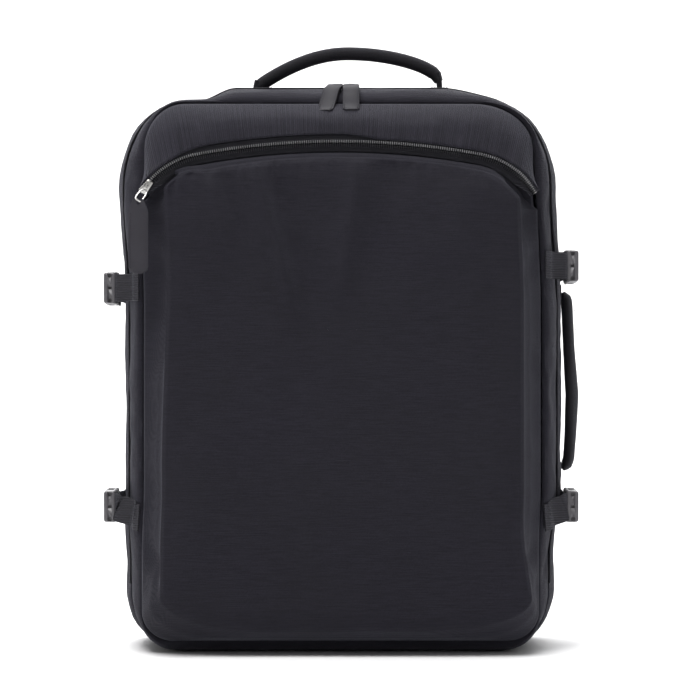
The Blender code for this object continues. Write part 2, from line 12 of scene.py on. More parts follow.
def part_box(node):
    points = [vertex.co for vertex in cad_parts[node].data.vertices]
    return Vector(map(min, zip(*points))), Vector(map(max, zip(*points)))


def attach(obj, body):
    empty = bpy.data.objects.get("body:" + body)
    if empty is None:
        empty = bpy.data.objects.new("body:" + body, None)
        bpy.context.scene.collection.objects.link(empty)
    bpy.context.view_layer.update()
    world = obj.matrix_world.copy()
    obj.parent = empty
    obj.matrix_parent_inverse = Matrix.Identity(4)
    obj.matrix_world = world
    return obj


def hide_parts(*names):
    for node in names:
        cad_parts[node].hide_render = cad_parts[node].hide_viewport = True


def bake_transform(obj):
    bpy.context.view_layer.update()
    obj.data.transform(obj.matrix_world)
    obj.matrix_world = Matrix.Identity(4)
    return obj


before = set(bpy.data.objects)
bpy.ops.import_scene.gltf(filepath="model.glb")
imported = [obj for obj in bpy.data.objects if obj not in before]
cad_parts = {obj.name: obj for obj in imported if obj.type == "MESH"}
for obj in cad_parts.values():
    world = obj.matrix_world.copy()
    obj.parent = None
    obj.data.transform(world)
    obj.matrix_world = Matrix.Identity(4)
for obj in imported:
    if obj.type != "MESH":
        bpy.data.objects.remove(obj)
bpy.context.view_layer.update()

# places read from the CAD frame
SEAM_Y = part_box("lid_gusset")[0].y
SHELL_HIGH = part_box("rear_shell")[1]
TAPE_LOW, TAPE_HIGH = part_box("main_zip_front_tape")
REAR_TAPE_LOW, REAR_TAPE_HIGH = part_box("main_zip_rear_tape")
HANDLE_LOW, HANDLE_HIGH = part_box("top_handle")
SIDE_LOW, SIDE_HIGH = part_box("side_handle")

BODY_HALF = SHELL_HIGH.x
BODY_TOP = SHELL_HIGH.z
BACK_Y = SHELL_HIGH.y
CROWN = 0.0115  # rise of the top edge between the handle's ends
SHOULDER = BODY_TOP - CROWN
TOP_LIFT = 0.0025
TOP_CORNER = (0.060, 0.079)  # each corner's width and height
LOW_CORNER = (0.045, 0.052)
ZIP_Y = (TAPE_HIGH.y + REAR_TAPE_LOW.y) / 2
ZIP_HALF = TAPE_HIGH.x
SEAM_HALF = 0.181
SEAM_LOW = 0.0105
SEAM_TOP = 0.495
SKIN = 0.0025
STITCH = 0.0034
WEB_WIDTH = 0.0248
STRAP_WEB_WIDTH = 0.0245
RIB_PITCH = 0.0019
POCKET_SWAY = 0.6  # share of the soft body's sway that the front pocket follows

# steps of one cross-section's outline
TURN_STEPS = 12
BASE_STEPS = 16
SIDE_STEPS = 56
TOP_STEPS = 56
LOW_COUNT = BASE_STEPS + TURN_STEPS + 1

# the curved zip of the front pocket, as in the CAD
ARCH_TOP = 0.457
ARCH_RADIUS = 0.700
ARCH_HALF = 0.1255
ARCH_CORNER = 0.075
ARCH_END_DEG = 57.0
ARCH_FADE_DEG = 40.0
ARCH_START = math.asin(ARCH_HALF / ARCH_RADIUS)
ARCH_CX = ARCH_HALF - ARCH_CORNER * math.sin(ARCH_START)
ARCH_CZ = ARCH_TOP - ARCH_RADIUS * (1 - math.cos(ARCH_START)) - ARCH_CORNER * math.cos(ARCH_START)
ARCH_FLAT = ARCH_RADIUS * ARCH_START
ARCH_WHOLE = ARCH_FLAT + ARCH_CORNER * (math.radians(ARCH_END_DEG) - ARCH_START)
ARCH_FADE = (ARCH_FLAT + ARCH_CORNER * (math.radians(ARCH_FADE_DEG) - ARCH_START)) / ARCH_WHOLE
ARCH_STEPS = 150
CHAIN_Y = -0.0965
SLIDER_DEG = 52.0

HANDS = (("left", -1.0), ("right", 1.0))
SURFACES = {}
WHERES = ("left_upper", "right_upper", "left_lower", "right_lower")


# ---------------------------------------------------------------- materials


def node(tree, kind, **values):
    made = tree.nodes.new(kind)
    for name, value in values.items():
        setattr(made, name, value)
    return made


def math_node(tree, operation, a, b=None, c=None):
    made = node(tree, "ShaderNodeMath", operation=operation)
    for socket, value in zip(made.inputs, (a, b, c)):
        if value is None:
            continue
        if isinstance(value, (int, float)):
            socket.default_value = value
        else:
            tree.links.new(value, socket)
    return made.outputs[0]


def wave(tree, value, pitch):
    """A sine over value, one wave in each pitch."""
    return math_node(tree, "SINE", math_node(tree, "MULTIPLY", value, math.tau / pitch))


def axes_of(tree, place):
    split = node(tree, "ShaderNodeSeparateXYZ")
    tree.links.new(place, split.inputs[0])
    return split.outputs


def ramp(tree, value, low, high, dark, light):
    """Value from low to high made a grey colour factor from dark to light."""
    made = node(tree, "ShaderNodeMapRange")
    tree.links.new(value, made.inputs["Value"])
    for name, number in (("From Min", low), ("From Max", high), ("To Min", dark), ("To Max", light)):
        made.inputs[name].default_value = number
    return made.outputs[0]


def scaled_noise(tree, place, scale, detail=2.0, stretch=(1, 1, 1)):
    mapping = node(tree, "ShaderNodeMapping")
    mapping.inputs["Scale"].default_value = stretch
    tree.links.new(place, mapping.inputs["Vector"])
    made = node(tree, "ShaderNodeTexNoise")
    made.inputs["Scale"].default_value = scale
    made.inputs["Detail"].default_value = detail
    tree.links.new(mapping.outputs[0], made.inputs["Vector"])
    return made.outputs["Fac"]


def start_material(name, roughness, metallic=0.0, sheen=0.0, specular=0.5):
    made = bpy.data.materials.new(name)
    made.use_nodes = True
    tree = made.node_tree
    shader = tree.nodes["Principled BSDF"]
    shader.inputs["Metallic"].default_value = metallic
    shader.inputs["Roughness"].default_value = roughness
    shader.inputs["Sheen Weight"].default_value = sheen
    shader.inputs["Sheen Roughness"].default_value = 0.45
    shader.inputs["Sheen Tint"].default_value = (0.75, 0.76, 0.9, 1.0)
    shader.inputs["Specular IOR Level"].default_value = specular
    place = node(tree, "ShaderNodeTexCoord").outputs["Object"]
    return made, tree, shader, place


def tint(tree, shader, colour, factor):
    """Base colour times a grey factor that varies over the surface."""
    made = node(tree, "ShaderNodeMix", data_type="RGBA", blend_type="MULTIPLY")
    made.inputs["Factor"].default_value = 1.0
    made.inputs["A"].default_value = (*colour, 1.0)
    tree.links.new(factor, made.inputs["B"])
    tree.links.new(made.outputs["Result"], shader.inputs["Base Color"])


def bump(tree, shader, height, distance, strength=1.0):
    made = node(tree, "ShaderNodeBump")
    made.inputs["Strength"].default_value = strength
    made.inputs["Distance"].default_value = distance
    tree.links.new(height, made.inputs["Height"])
    tree.links.new(made.outputs[0], shader.inputs["Normal"])


def woven(name, colour, pitch=0.0011, depth=0.00012, rough=0.80, sheen=0.10, contrast=0.16,
          specular=0.16, upright=False):
    """Woven cloth: two thread directions, thicker threads here and there, light wear and dust.

    upright cloth shows the ribs of its warp, which spread downwards as the cloth does."""
    made, tree, shader, place = start_material(name, rough, sheen=sheen, specular=specular)
    x, y, z = axes_of(tree, place)
    u = math_node(tree, "MULTIPLY_ADD", y, 0.7, x)
    v = math_node(tree, "MULTIPLY_ADD", y, 0.7, z)
    weave = math_node(tree, "MULTIPLY", wave(tree, u, pitch), wave(tree, v, pitch))
    if upright:
        spread = math_node(tree, "MULTIPLY_ADD", z, -1.6, 1.8)
        spread_x = math_node(tree, "MULTIPLY", x, spread)
        across = node(tree, "ShaderNodeCombineXYZ")
        tree.links.new(spread_x, across.inputs["X"])
        tree.links.new(math_node(tree, "MULTIPLY", z, 0.03), across.inputs["Z"])
        threads = scaled_noise(tree, across.outputs[0], 480.0, 1.0)
        weave = math_node(tree, "MULTIPLY_ADD", wave(tree, spread_x, RIB_PITCH), 1.3, weave)
    else:
        threads = scaled_noise(tree, place, 1.0, 1.0, (70, 70, 1300))
    clouds = scaled_noise(tree, place, 9.0, 4.0)
    fine = scaled_noise(tree, place, 650.0, 2.0)
    grain = math_node(tree, "ADD", ramp(tree, threads, 0.3, 0.7, 1 - contrast, 1 + contrast),
                      ramp(tree, weave, -1, 1, -contrast, contrast))
    wear = ramp(tree, clouds, 0.3, 0.7, 0.90, 1.10)
    dust = ramp(tree, fine, 0.25, 0.75, 0.85, 1.15)
    tint(tree, shader, colour, math_node(tree, "MULTIPLY", math_node(tree, "MULTIPLY", grain, wear), dust))
    height = math_node(tree, "ADD", weave, ramp(tree, threads, 0.2, 0.8, -0.9, 0.9))
    bump(tree, shader, height, depth)
    tree.links.new(ramp(tree, clouds, 0.3, 0.7, rough - 0.06, rough + 0.06), shader.inputs["Roughness"])
    return made


def ribbed(name, colour, pitch=0.0021, axis="z", rough=0.7, sheen=0.12):
    """Webbing: ribs running along the strap, crossed by fine weft. axis runs across the ribs."""
    made, tree, shader, place = start_material(name, rough, sheen=sheen, specular=0.22)
    x, y, z = axes_of(tree, place)
    along = math_node(tree, "ADD", math_node(tree, "ADD", x, y), z)
    ribs = wave(tree, {"z": z, "x": x, "y": y}[axis], pitch)
    weft = wave(tree, along, pitch * 0.55)
    fuzz = scaled_noise(tree, place, 300.0, 2.0)
    shade = math_node(tree, "MULTIPLY", ramp(tree, ribs, -1, 1, 0.72, 1.2),
                      ramp(tree, fuzz, 0.25, 0.75, 0.85, 1.15))
    tint(tree, shader, colour, shade)
    bump(tree, shader, math_node(tree, "MULTIPLY_ADD", weft, 0.35, ribs), 0.00022)
    return made


def moulded(name, colour, rough=0.42, specular=0.5, scratch=0.08):
    """Moulded plastic: fine texture and faint scuffs."""
    made, tree, shader, place = start_material(name, rough, specular=specular)
    scuffs = scaled_noise(tree, place, 1.0, 3.0, (60, 240, 60))
    pores = scaled_noise(tree, place, 1600.0, 1.0)
    tint(tree, shader, colour, ramp(tree, scuffs, 0.3, 0.75, 1 - scratch, 1 + 2 * scratch))
    tree.links.new(ramp(tree, scuffs, 0.3, 0.7, rough - 0.07, rough + 0.09), shader.inputs["Roughness"])
    bump(tree, shader, pores, 0.00005, 0.6)
    return made


def metal(name, colour, rough=0.26):
    """Plated zip metal with fine tarnish."""
    made, tree, shader, place = start_material(name, rough, metallic=1.0)
    tarnish = scaled_noise(tree, place, 260.0, 3.0)
    tint(tree, shader, colour, ramp(tree, tarnish, 0.3, 0.7, 0.75, 1.05))
    tree.links.new(ramp(tree, tarnish, 0.3, 0.7, rough - 0.05, rough + 0.15), shader.inputs["Roughness"])
    bump(tree, shader, tarnish, 0.00003, 0.5)
    return made


def meshed(name, colour):
    """Spacer mesh: a honeycomb of small round holes that are not cut: their centres are painted near black as
    painted shade in the holes, and pressed in by the bump.
    """
    made, tree, shader, place = start_material(name, 0.85, sheen=0.12, specular=0.2)
    cells = node(tree, "ShaderNodeTexVoronoi", feature="DISTANCE_TO_EDGE")
    cells.inputs["Scale"].default_value = 380.0
    cells.inputs["Randomness"].default_value = 0.25
    tree.links.new(place, cells.inputs["Vector"])
    # painted shade: darker towards each hole's centre
    edge = ramp(tree, cells.outputs["Distance"], 0.05, 0.32, 1.0, 0.18)
    tint(tree, shader, colour, edge)
    bump(tree, shader, edge, 0.0006)
    return made


def make_materials():
    return {
        "shell": woven("shell_cloth", (0.0128, 0.0120, 0.0176)),
        # band cloth: its own upright ribbed weave, with its colour about one and a half times the shell's as
        # painted top light that the upward-leaning band catches
        "band": woven("band_cloth_with_painted_top_light", (0.0190, 0.0180, 0.0250), upright=True, contrast=0.26),
        "lining": woven("lining_cloth", (0.075, 0.075, 0.085), 0.0007, 0.00005, contrast=0.1),
        "handle": woven("handle_cloth", (0.0105, 0.0100, 0.0125), 0.0009, 0.0001, contrast=0.15),
        "foam": woven("foam_sheet", (0.16, 0.16, 0.165), 0.0016, 0.0002, contrast=0.08),
        "tape": ribbed("zip_tape_knit", (0.0130, 0.0125, 0.0165), 0.0011, "y"),
        # zip coil: its light grey is painted highlight and top light on the teeth
        "coil": moulded("zip_coil_painted_highlight", (0.230, 0.230, 0.236), 0.24),
        "web": ribbed("webbing_ribs", (0.0200, 0.0192, 0.0240)),
        "web_x": ribbed("webbing_ribs_upright", (0.0200, 0.0192, 0.0240), axis="x"),
        "plastic": moulded("buckle_acetal", (0.080, 0.077, 0.084), 0.36),
        "dark_plastic": moulded("black_acetal", (0.020, 0.020, 0.022), 0.4),
        "metal": metal("plated_zip_metal", (0.72, 0.71, 0.69)),
        "rubber": moulded("pull_rubber", (0.026, 0.0245, 0.031), 0.55, 0.3),
        "soft_rubber": moulded("soft_pull_rubber", (0.0175, 0.0165, 0.0212), 0.62, 0.2),
        "thread": moulded("sewing_thread", (0.024, 0.0232, 0.030), 0.6, 0.2),
        "mesh": meshed("air_mesh_net", (0.020, 0.020, 0.023)),
    }


# ---------------------------------------------------------------- mesh tools


def link(made):
    bpy.context.scene.collection.objects.link(made)
    return made


def new_piece(name, data, body, materials, replaces=()):
    """An object that rides on body, unless it is to be blended between two."""
    made = link(bpy.data.objects.new(name, data))
    for finish in materials:
        made.data.materials.append(M[finish])
    if body:
        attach(made, body)
    if replaces:
        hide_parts(*replaces)
    return made


def mesh_of(name, work, angle=50):
    bmesh.ops.recalc_face_normals(work, faces=work.faces)
    data = bpy.data.meshes.new(name)
    work.to_mesh(data)
    work.free()
    data.shade_smooth()
    data.set_sharp_from_angle(angle=math.radians(angle))
    return data


def edit_mesh(data, change):
    """Lets change(bmesh) add faces to a mesh."""
    work = bmesh.new()
    work.from_mesh(data)
    work.verts.ensure_lookup_table()
    change(work)
    bmesh.ops.recalc_face_normals(work, faces=work.faces)
    work.to_mesh(data)
    work.free()
    data.shade_smooth()


def skin(work, rows, closed=True):
    """Faces between rows of vertices. closed rows go round."""
    count = len(rows[0])
    for row, after in zip(rows, rows[1:]):
        for i in range(count if closed else count - 1):
            j = (i + 1) % count
            work.faces.new((row[i], row[j], after[j], after[i]))


def grid_data(name, rows, closed=False, ends=False):
    """A skin through rows of points. ends caps the first and last row."""
    work = bmesh.new()
    verts = [[work.verts.new(p) for p in row] for row in rows]
    skin(work, verts, closed)
    if ends:
        work.faces.new(verts[0])
        work.faces.new(verts[-1])
    return mesh_of(name, work)


def tube_data(name, ring, radius, sides, up=(0, 1, 0)):
    """A round tube along a closed ring of points."""
    profile = oval(radius, radius, sides)
    work = bmesh.new()
    verts = [[work.verts.new(p) for p in row]
             for row in turned(ring, lambda share: profile, closed_path=True, up=up)]
    skin(work, [*verts, verts[0]])
    return mesh_of(name, work)


def thicken(piece, thickness, inner=None, offset=-1.0):
    """Gives a skin its thickness. The inner side takes material slot inner."""
    step = piece.modifiers.new("thickness", "SOLIDIFY")
    step.thickness = thickness
    step.offset = offset
    step.use_even_offset = False
    if inner is not None:
        step.material_offset = inner
    return piece


def turned(points, profile_at, closed_path=False, up=(0, 1, 0)):
    """Rows of a sweep: profile_at(share) gives (side, up) pairs at each point of the path."""
    rows = []
    path = [Vector(p) for p in points]
    last = len(path) - 1
    for i, place in enumerate(path):
        before = path[i - 1] if i or closed_path else place
        after = path[(i + 1) % len(path)] if i < last or closed_path else place
        ahead = (after - before).normalized()
        flat = Vector(up)
        side = ahead.cross(flat).normalized()
        top = side.cross(ahead)
        rows.append([place + side * a + top * b for a, b in profile_at(i / last)])
    return rows


def oval(half_wide, half_thick, count=16):
    return [(half_wide * math.cos(a), half_thick * math.sin(a))
            for a in np.linspace(0, math.tau, count + 1)[:-1]]


def rounded_profile(width, thick, corner=4):
    """Cross-section of a strap: a flat oval of width by thick."""
    radius = thick / 2
    flat = max(width / 2 - radius, 0.0)
    points = []
    for side, start in ((1, -90), (-1, 90)):
        for i in range(corner + 1):
            angle = math.radians(start + 180 * i / corner)
            points.append((side * flat + radius * math.cos(angle), radius * math.sin(angle)))
    return points


def strap(name, path, width, thick, body, finish, up, replaces=()):
    """Webbing along a path. up is the direction of its width."""
    profile = [(b, a) for a, b in rounded_profile(width, thick, 3)]
    rows = turned(smooth_path(path), lambda share: profile, up=up)
    return new_piece(name, grid_data(name, rows, closed=True, ends=True), body, [finish], replaces)


def smooth_path(points, steps=6):
    """Points of a smooth curve through the given ones."""
    path = [Vector(p) for p in points]
    if len(path) < 3:
        return path
    out = []
    ends = [2 * path[0] - path[1], *path, 2 * path[-1] - path[-2]]
    for p0, p1, p2, p3 in zip(ends, ends[1:], ends[2:], ends[3:]):
        for i in range(steps):
            t = i / steps
            out.append(0.5 * (2 * p1 + (p2 - p0) * t + (2 * p0 - 5 * p1 + 4 * p2 - p3) * t * t
                              + (3 * p1 - p0 - 3 * p2 + p3) * t ** 3))
    return [*out, path[-1]]


def resampled(points, pitch):
    """Points at an even pitch along a polyline."""
    places = np.array([list(p) for p in points], float)
    lengths = np.r_[0, np.cumsum(np.linalg.norm(np.diff(places, axis=0), axis=1))]
    count = max(2, int(lengths[-1] / pitch))
    at = np.linspace(0, lengths[-1], count)
    return [Vector([np.interp(t, lengths, places[:, k]) for k in range(3)]) for t in at]


def beads(name, places, size, body, finish):
    """Small rounded blocks, each (centre, along, out): stitches, or the teeth of a zip coil."""
    work = bmesh.new()
    length, width, height = size
    for centre, along, out in places:
        ahead = Vector(along).normalized()
        side = ahead.cross(Vector(out)).normalized()
        top = side.cross(ahead).normalized()
        frame_ = Matrix((
            (*(ahead * length),), (*(side * width),), (*(top * height),))).transposed().to_4x4()
        frame_.translation = centre
        bmesh.ops.create_icosphere(work, subdivisions=1, radius=0.5, matrix=frame_)
    return new_piece(name, mesh_of(name, work), body, [finish])


def with_direction(points):
    """Each point with the line's direction there."""
    last = len(points) - 1
    return [(p, points[min(i + 1, last)] - points[max(i - 1, 0)]) for i, p in enumerate(points)]


def stitches(name, path, out, body, pitch=STITCH):
    """A row of stitches along a path, on the side that out points to."""
    rows = [(place, ahead, out) for place, ahead in with_direction(resampled(path, pitch))]
    return beads(name, rows, (pitch * 0.72, 0.0007, 0.0006), body, "thread")


def smooth_step(value):
    t = min(1.0, max(0.0, value))
    return t * t * (3 - 2 * t)


def block_mesh(low, high, bevel, segments=3):
    """A box with rounded edges, as a bmesh."""
    work = bmesh.new()
    size = Vector(high) - Vector(low)
    centre = (Vector(high) + Vector(low)) / 2
    bmesh.ops.create_cube(work, size=1.0, matrix=Matrix.Translation(centre) @ Matrix.Diagonal((*size, 1)))
    if bevel:
        bmesh.ops.bevel(work, geom=list(work.edges), offset=bevel, segments=segments, profile=0.5,
                        affect="EDGES")
    return work


def cut(piece, *cutters):
    """Cuts bmesh shapes out of piece and keeps the result as its mesh."""
    for work in cutters:
        data = bpy.data.meshes.new("cutter")
        bmesh.ops.recalc_face_normals(work, faces=work.faces)
        work.to_mesh(data)
        work.free()
        other = link(bpy.data.objects.new("cutter", data))
        step = piece.modifiers.new("cut", "BOOLEAN")
        step.operation = "DIFFERENCE"
        step.solver = "EXACT"
        step.object = other
        apply_modifiers(piece)
        bpy.data.objects.remove(other)
    return piece


def apply_modifiers(piece):
    graph = bpy.context.evaluated_depsgraph_get()
    graph.update()
    data = bpy.data.meshes.new_from_object(piece.evaluated_get(graph))
    piece.modifiers.clear()
    piece.data = data
    return piece


def rod(start, end, radius, sides=12):
    work = bmesh.new()
    axis = Vector(end) - Vector(start)
    centre = Matrix.Translation((Vector(start) + Vector(end)) / 2)
    bmesh.ops.create_cone(work, cap_ends=True, segments=sides, radius1=radius, radius2=radius,
                          depth=axis.length, matrix=centre @ axis.to_track_quat("Z", "Y").to_matrix().to_4x4())
    return work


# ---------------------------------------------------------------- outlines


def crown_lift(x, height):
    """The top edge is highest between the handle's ends and falls to the shoulders."""
    end, flat = (0.162, 0.094) if x > 0 else (0.126, 0.092)
    return height * smooth_step((end - abs(x)) / (end - flat))


def straight(a, b, steps):
    """Points from a towards b, which isn't one of them."""
    return [(a[0] + (b[0] - a[0]) * (i / steps), a[1] + (b[1] - a[1]) * (i / steps)) for i in range(steps)]


def quarter(cx, cz, corner, start, steps):
    """A quarter of an oval, anticlockwise from the angle start, without its last point."""
    angles = [math.radians(start + 90 * i / steps) for i in range(steps)]
    return [(cx + corner[0] * math.cos(a), cz + corner[1] * math.sin(a)) for a in angles]


def outline(half, low, top, left, right, under, crown):
    """Rounded outline of one cross-section, (x, z) from the middle of the bottom, anticlockwise.

    left, right and under are the widths and heights of the upper corners and the lower ones."""
    points = [
        *straight((0, low), (half - under[0], low), BASE_STEPS),
        *quarter(half - under[0], low + under[1], under, -90, TURN_STEPS),
        *straight((half, low + under[1]), (half, top - right[1]), SIDE_STEPS),
        *quarter(half - right[0], top - right[1], right, 0, TURN_STEPS),
        *straight((half - right[0], top), (left[0] - half, top), TOP_STEPS),
        *quarter(left[0] - half, top - left[1], left, 90, TURN_STEPS),
        *straight((-half, top - left[1]), (-half, low + under[1]), SIDE_STEPS),
        *quarter(under[0] - half, low + under[1], under, 180, TURN_STEPS),
        *straight((under[0] - half, low), (0, low), BASE_STEPS),
    ]
    return [(x, z + (crown_lift(x, crown) if z > 0.4 else 0.0)) for x, z in points]


def crease(x, z, start, end, width, height):
    """Height of a soft fold that runs from start to end and fades at both ends."""
    dx, dz = end[0] - start[0], end[1] - start[1]
    length = dx * dx + dz * dz
    t = ((x - start[0]) * dx + (z - start[1]) * dz) / length
    away = ((x - start[0]) * dz - (z - start[1]) * dx) / math.sqrt(length)
    fade = smooth_step((t + 0.15) / 0.3) * smooth_step((1.15 - t) / 0.45)
    return height * fade * math.exp(-(away / width) ** 2)


def creases(x, z, folds, start=0.0):
    return sum((crease(x, z, *fold) for fold in folds), start)


def ripple(x, y, z, size, height, seed=0.0):
    """Soft uneven sag of cloth."""
    return height * noise.fractal(Vector((x / size + seed, y / size, z / size)), 0.8, 2.1, 3)


def sway(z):
    """The soft body leans a little: its middle lies to the right, its shoulders to the left."""
    return 0.0018 - 0.0055 * smooth_step((z - 0.31) / 0.11) - 0.0029 * smooth_step((0.15 - z) / 0.06)


def soft_form(x, y, z, wrinkle):
    """Moves a point of the plain outline to the slack bag's own form."""
    out = Vector((x * 1.2, 0, z - 0.25)).normalized()
    puff = wrinkle * ripple(x, y * 1.5, z, 0.045, 1.0, 3.0) if z > 0.02 else 0.0
    narrow = 0.0042 * smooth_step((0.15 - z) / 0.07) * min(abs(x) / 0.15, 1.0)
    lift = TOP_LIFT * smooth_step((z - 0.36) / 0.12)
    x += out.x * puff + sway(z) - math.copysign(narrow, x)
    return Vector((x, y, max(z + out.z * puff * 0.6 + lift, 0.0)))


def body_ring(half, inset, y, wrinkle=0.0, flat=True):
    """One cross-section of the bag's body. flat rests its bottom on the ground."""
    wide, tall = TOP_CORNER[0] - inset / 2, TOP_CORNER[1] - inset / 2
    under = (LOW_CORNER[0] - inset / 2, LOW_CORNER[1] - inset / 2)
    ring = []
    for x, z in outline(half, inset, SHOULDER - inset, (wide, tall), (wide, tall), under, CROWN):
        if flat:
            z -= inset * (1 - smooth_step((z - inset) / 0.04))
        ring.append(soft_form(x, y, z, wrinkle))
    return ring


def seam_ring(inset, y, share=1.0, wrinkle=0.0):
    """A cross-section between the zip (share 0) and the front seam (share 1)."""
    near = (ZIP_HALF - 0.001, 0.0046, SHOULDER - 0.0046, 0.058, 0.077, 0.058, 0.077, 0.043, 0.050, CROWN)
    far = (SEAM_HALF - inset, SEAM_LOW + inset, SEAM_TOP - inset,
           0.036, 0.040, 0.054, 0.040, 0.022, 0.022, 0.0)
    half, low, top, lw, lt, rw, rt, uw, ut, crown = [a + (b - a) * share for a, b in zip(near, far)]
    ring = []
    for x, z in outline(half, low, top, (lw, lt), (rw, rt), (uw, ut), crown):
        z -= low * (1 - share) * (1 - smooth_step((z - low) / 0.04))
        point = soft_form(x, y, z, wrinkle)
        point.x -= sway(z) * share * smooth_step((z - 0.30) / 0.1)
        point.x *= 1 - 0.030 * share * smooth_step((z - 0.35) / 0.09)
        if share > 0.5:
            point.z -= TOP_LIFT * smooth_step((z - 0.36) / 0.12) * (share - 0.5) * 2
        ring.append(point)
    return ring


def eased(keys, count):
    """Rows of key values, eased to count rows."""
    table = np.array(keys, float)
    at = np.linspace(0, len(keys) - 1, count)
    out = []
    for value in at:
        i = min(int(value), len(keys) - 2)
        p1, p2 = table[i], table[i + 1]
        p0 = table[i - 1] if i else 2 * p1 - p2
        p3 = table[i + 2] if i + 2 < len(keys) else 2 * p2 - p1
        t = value - i
        out.append(0.5 * (2 * p1 + (p2 - p0) * t + (2 * p0 - 5 * p1 + 4 * p2 - p3) * t * t
                          + (3 * p1 - p0 - 3 * p2 + p3) * t ** 3))
    return out


# ---------------------------------------------------------------- shells


def make_rear_shell():
    edge = REAR_TAPE_HIGH.y + 0.0004
    keys = [
        (ZIP_HALF - 0.001, 0.0046, edge),
        (ZIP_HALF + 0.0035, 0.0022, edge + 0.010),
        (BODY_HALF - 0.0012, 0.0006, edge + 0.028),
        (BODY_HALF - 0.0006, 0.0, 0.020),
        (BODY_HALF - 0.0010, 0.0004, 0.045),
        (BODY_HALF - 0.0030, 0.0024, 0.066),
        (BODY_HALF - 0.0080, 0.0070, BACK_Y - 0.008),
    ]
    rows = [body_ring(half, inset, y, wrinkle=0.0018) for half, inset, y in eased(keys, 34)]
    rim = BODY_HALF - 0.0105
    rows.append(body_ring(rim, 0.0098, BACK_Y - 0.0055, flat=False))
    rows.append(body_ring(rim - 0.006, 0.0150, BACK_Y - 0.0028, flat=False))
    inner = body_ring(rim - 0.010, 0.019, BACK_Y, flat=False)
    middle = 0.255
    for share in (0.97, 0.86, 0.6, 0.3, 0.04):
        rows.append([Vector((p.x * share, BACK_Y - 0.0015 * share, middle + (p.z - middle) * share))
                     for p in inner])
    data = grid_data("rear_shell_cloth", rows, closed=True)
    fill_last(data, len(rows[0]))
    piece = new_piece("rear_shell_cloth", data, "shell", ["shell", "lining"],
                      ["rear_shell"])
    SURFACES["rear"] = tree_of(data)
    thicken(piece, SKIN, inner=1)
    piping = body_ring(BODY_HALF - 0.0075, 0.0068, BACK_Y - 0.0062, flat=False)
    sweep_ring("back_piping", piping, 0.0017)


def tree_of(data):
    return BVHTree.FromPolygons([v.co for v in data.vertices], [p.vertices for p in data.polygons])


def side_at(name, side, y, z, reach=0.012):
    """x of a shell's side at this depth and height, at its widest over a strap's width."""
    widest = 0.0
    for k in (-1, -0.5, 0, 0.5, 1):
        hit = SURFACES[name].ray_cast(Vector((side * 0.3, y, z + k * reach)), Vector((-side, 0, 0)))[0]
        if hit:
            widest = max(widest, side * hit.x)
    return widest


def fill_last(data, count):
    """Closes the last ring of a lofted skin."""
    edit_mesh(data, lambda work: work.faces.new(work.verts[-count:]))


def sweep_ring(name, ring, radius):
    """A round cord sewn to the shell along a closed ring."""
    return new_piece(name, tube_data(name, ring, radius, 6), "shell", ["web"])


LEFT_FOLDS = (
    ((-0.040, 0.440), (-0.072, 0.424), 0.0060, 0.0038),
    ((-0.044, 0.462), (-0.072, 0.452), 0.0060, -0.0022),
    ((-0.045, 0.300), (-0.072, 0.330), 0.0070, 0.0016),
    ((-0.045, 0.150), (-0.072, 0.120), 0.0080, 0.0018),
)
RIGHT_FOLDS = (
    ((-0.045, 0.410), (-0.072, 0.390), 0.0070, 0.0022),
    ((-0.045, 0.220), (-0.072, 0.245), 0.0080, 0.0018),
    ((-0.045, 0.090), (-0.072, 0.060), 0.0070, 0.0022),
)


def gusset_folds(p):
    """Depth of the slack folds in the lid's side strip, deepest at the upper left corner."""
    fold = creases(p.y, p.z, LEFT_FOLDS if p.x < 0 else RIGHT_FOLDS)
    return fold + ripple(p.x, p.y * 2, p.z, 0.05, 0.0009, 11.0)


def make_lid_gusset():
    edge = TAPE_LOW.y - 0.0004
    rows = []
    steps = 18
    for i in range(steps + 1):
        t = i / steps
        round_off = 0.45 * t * t + 0.55 * (1 - math.sqrt(max(0.0, 1 - t * t)))
        row = seam_ring(-0.0012, edge + (SEAM_Y + 0.0006 - edge) * t, round_off, 0.0015)
        for p in row:
            fold = gusset_folds(p) * math.sin(math.pi * t)
            p.x -= math.copysign(fold, p.x)
            p.z -= fold * 0.4 * smooth_step((p.z - 0.46) / 0.03)
        rows.append(row)
    rows.append(seam_ring(0.0010, SEAM_Y + 0.0012, 1.0))
    rows.append(seam_ring(0.0022, SEAM_Y + 0.0036, 1.0))
    data = grid_data("lid_gusset_cloth", rows, closed=True)
    piece = new_piece("lid_gusset_cloth", data, "lid", ["shell", "lining"], ["lid_gusset"])
    SURFACES["lid"] = tree_of(data)
    thicken(piece, 0.0018, inner=1)


def make_front_panel():
    ring = seam_ring(0.0046, SEAM_Y - 0.0010)
    rows = []
    for share, forward in ((1.0, 0.0), (0.985, -0.0014), (0.93, -0.0020), (0.7, -0.0004), (0.4, 0.0),
                           (0.05, 0.0)):
        rows.append([Vector((p.x * share, p.y + forward, 0.25 + (p.z - 0.25) * share)) for p in ring])
    data = grid_data("front_panel_cloth", rows, closed=True)
    fill_last(data, len(ring))
    piece = new_piece("front_panel_cloth", data, "lid", ["shell", "lining"], ["front_panel"])
    thicken(piece, 0.0016, inner=1)


# ---------------------------------------------------------------- front pocket


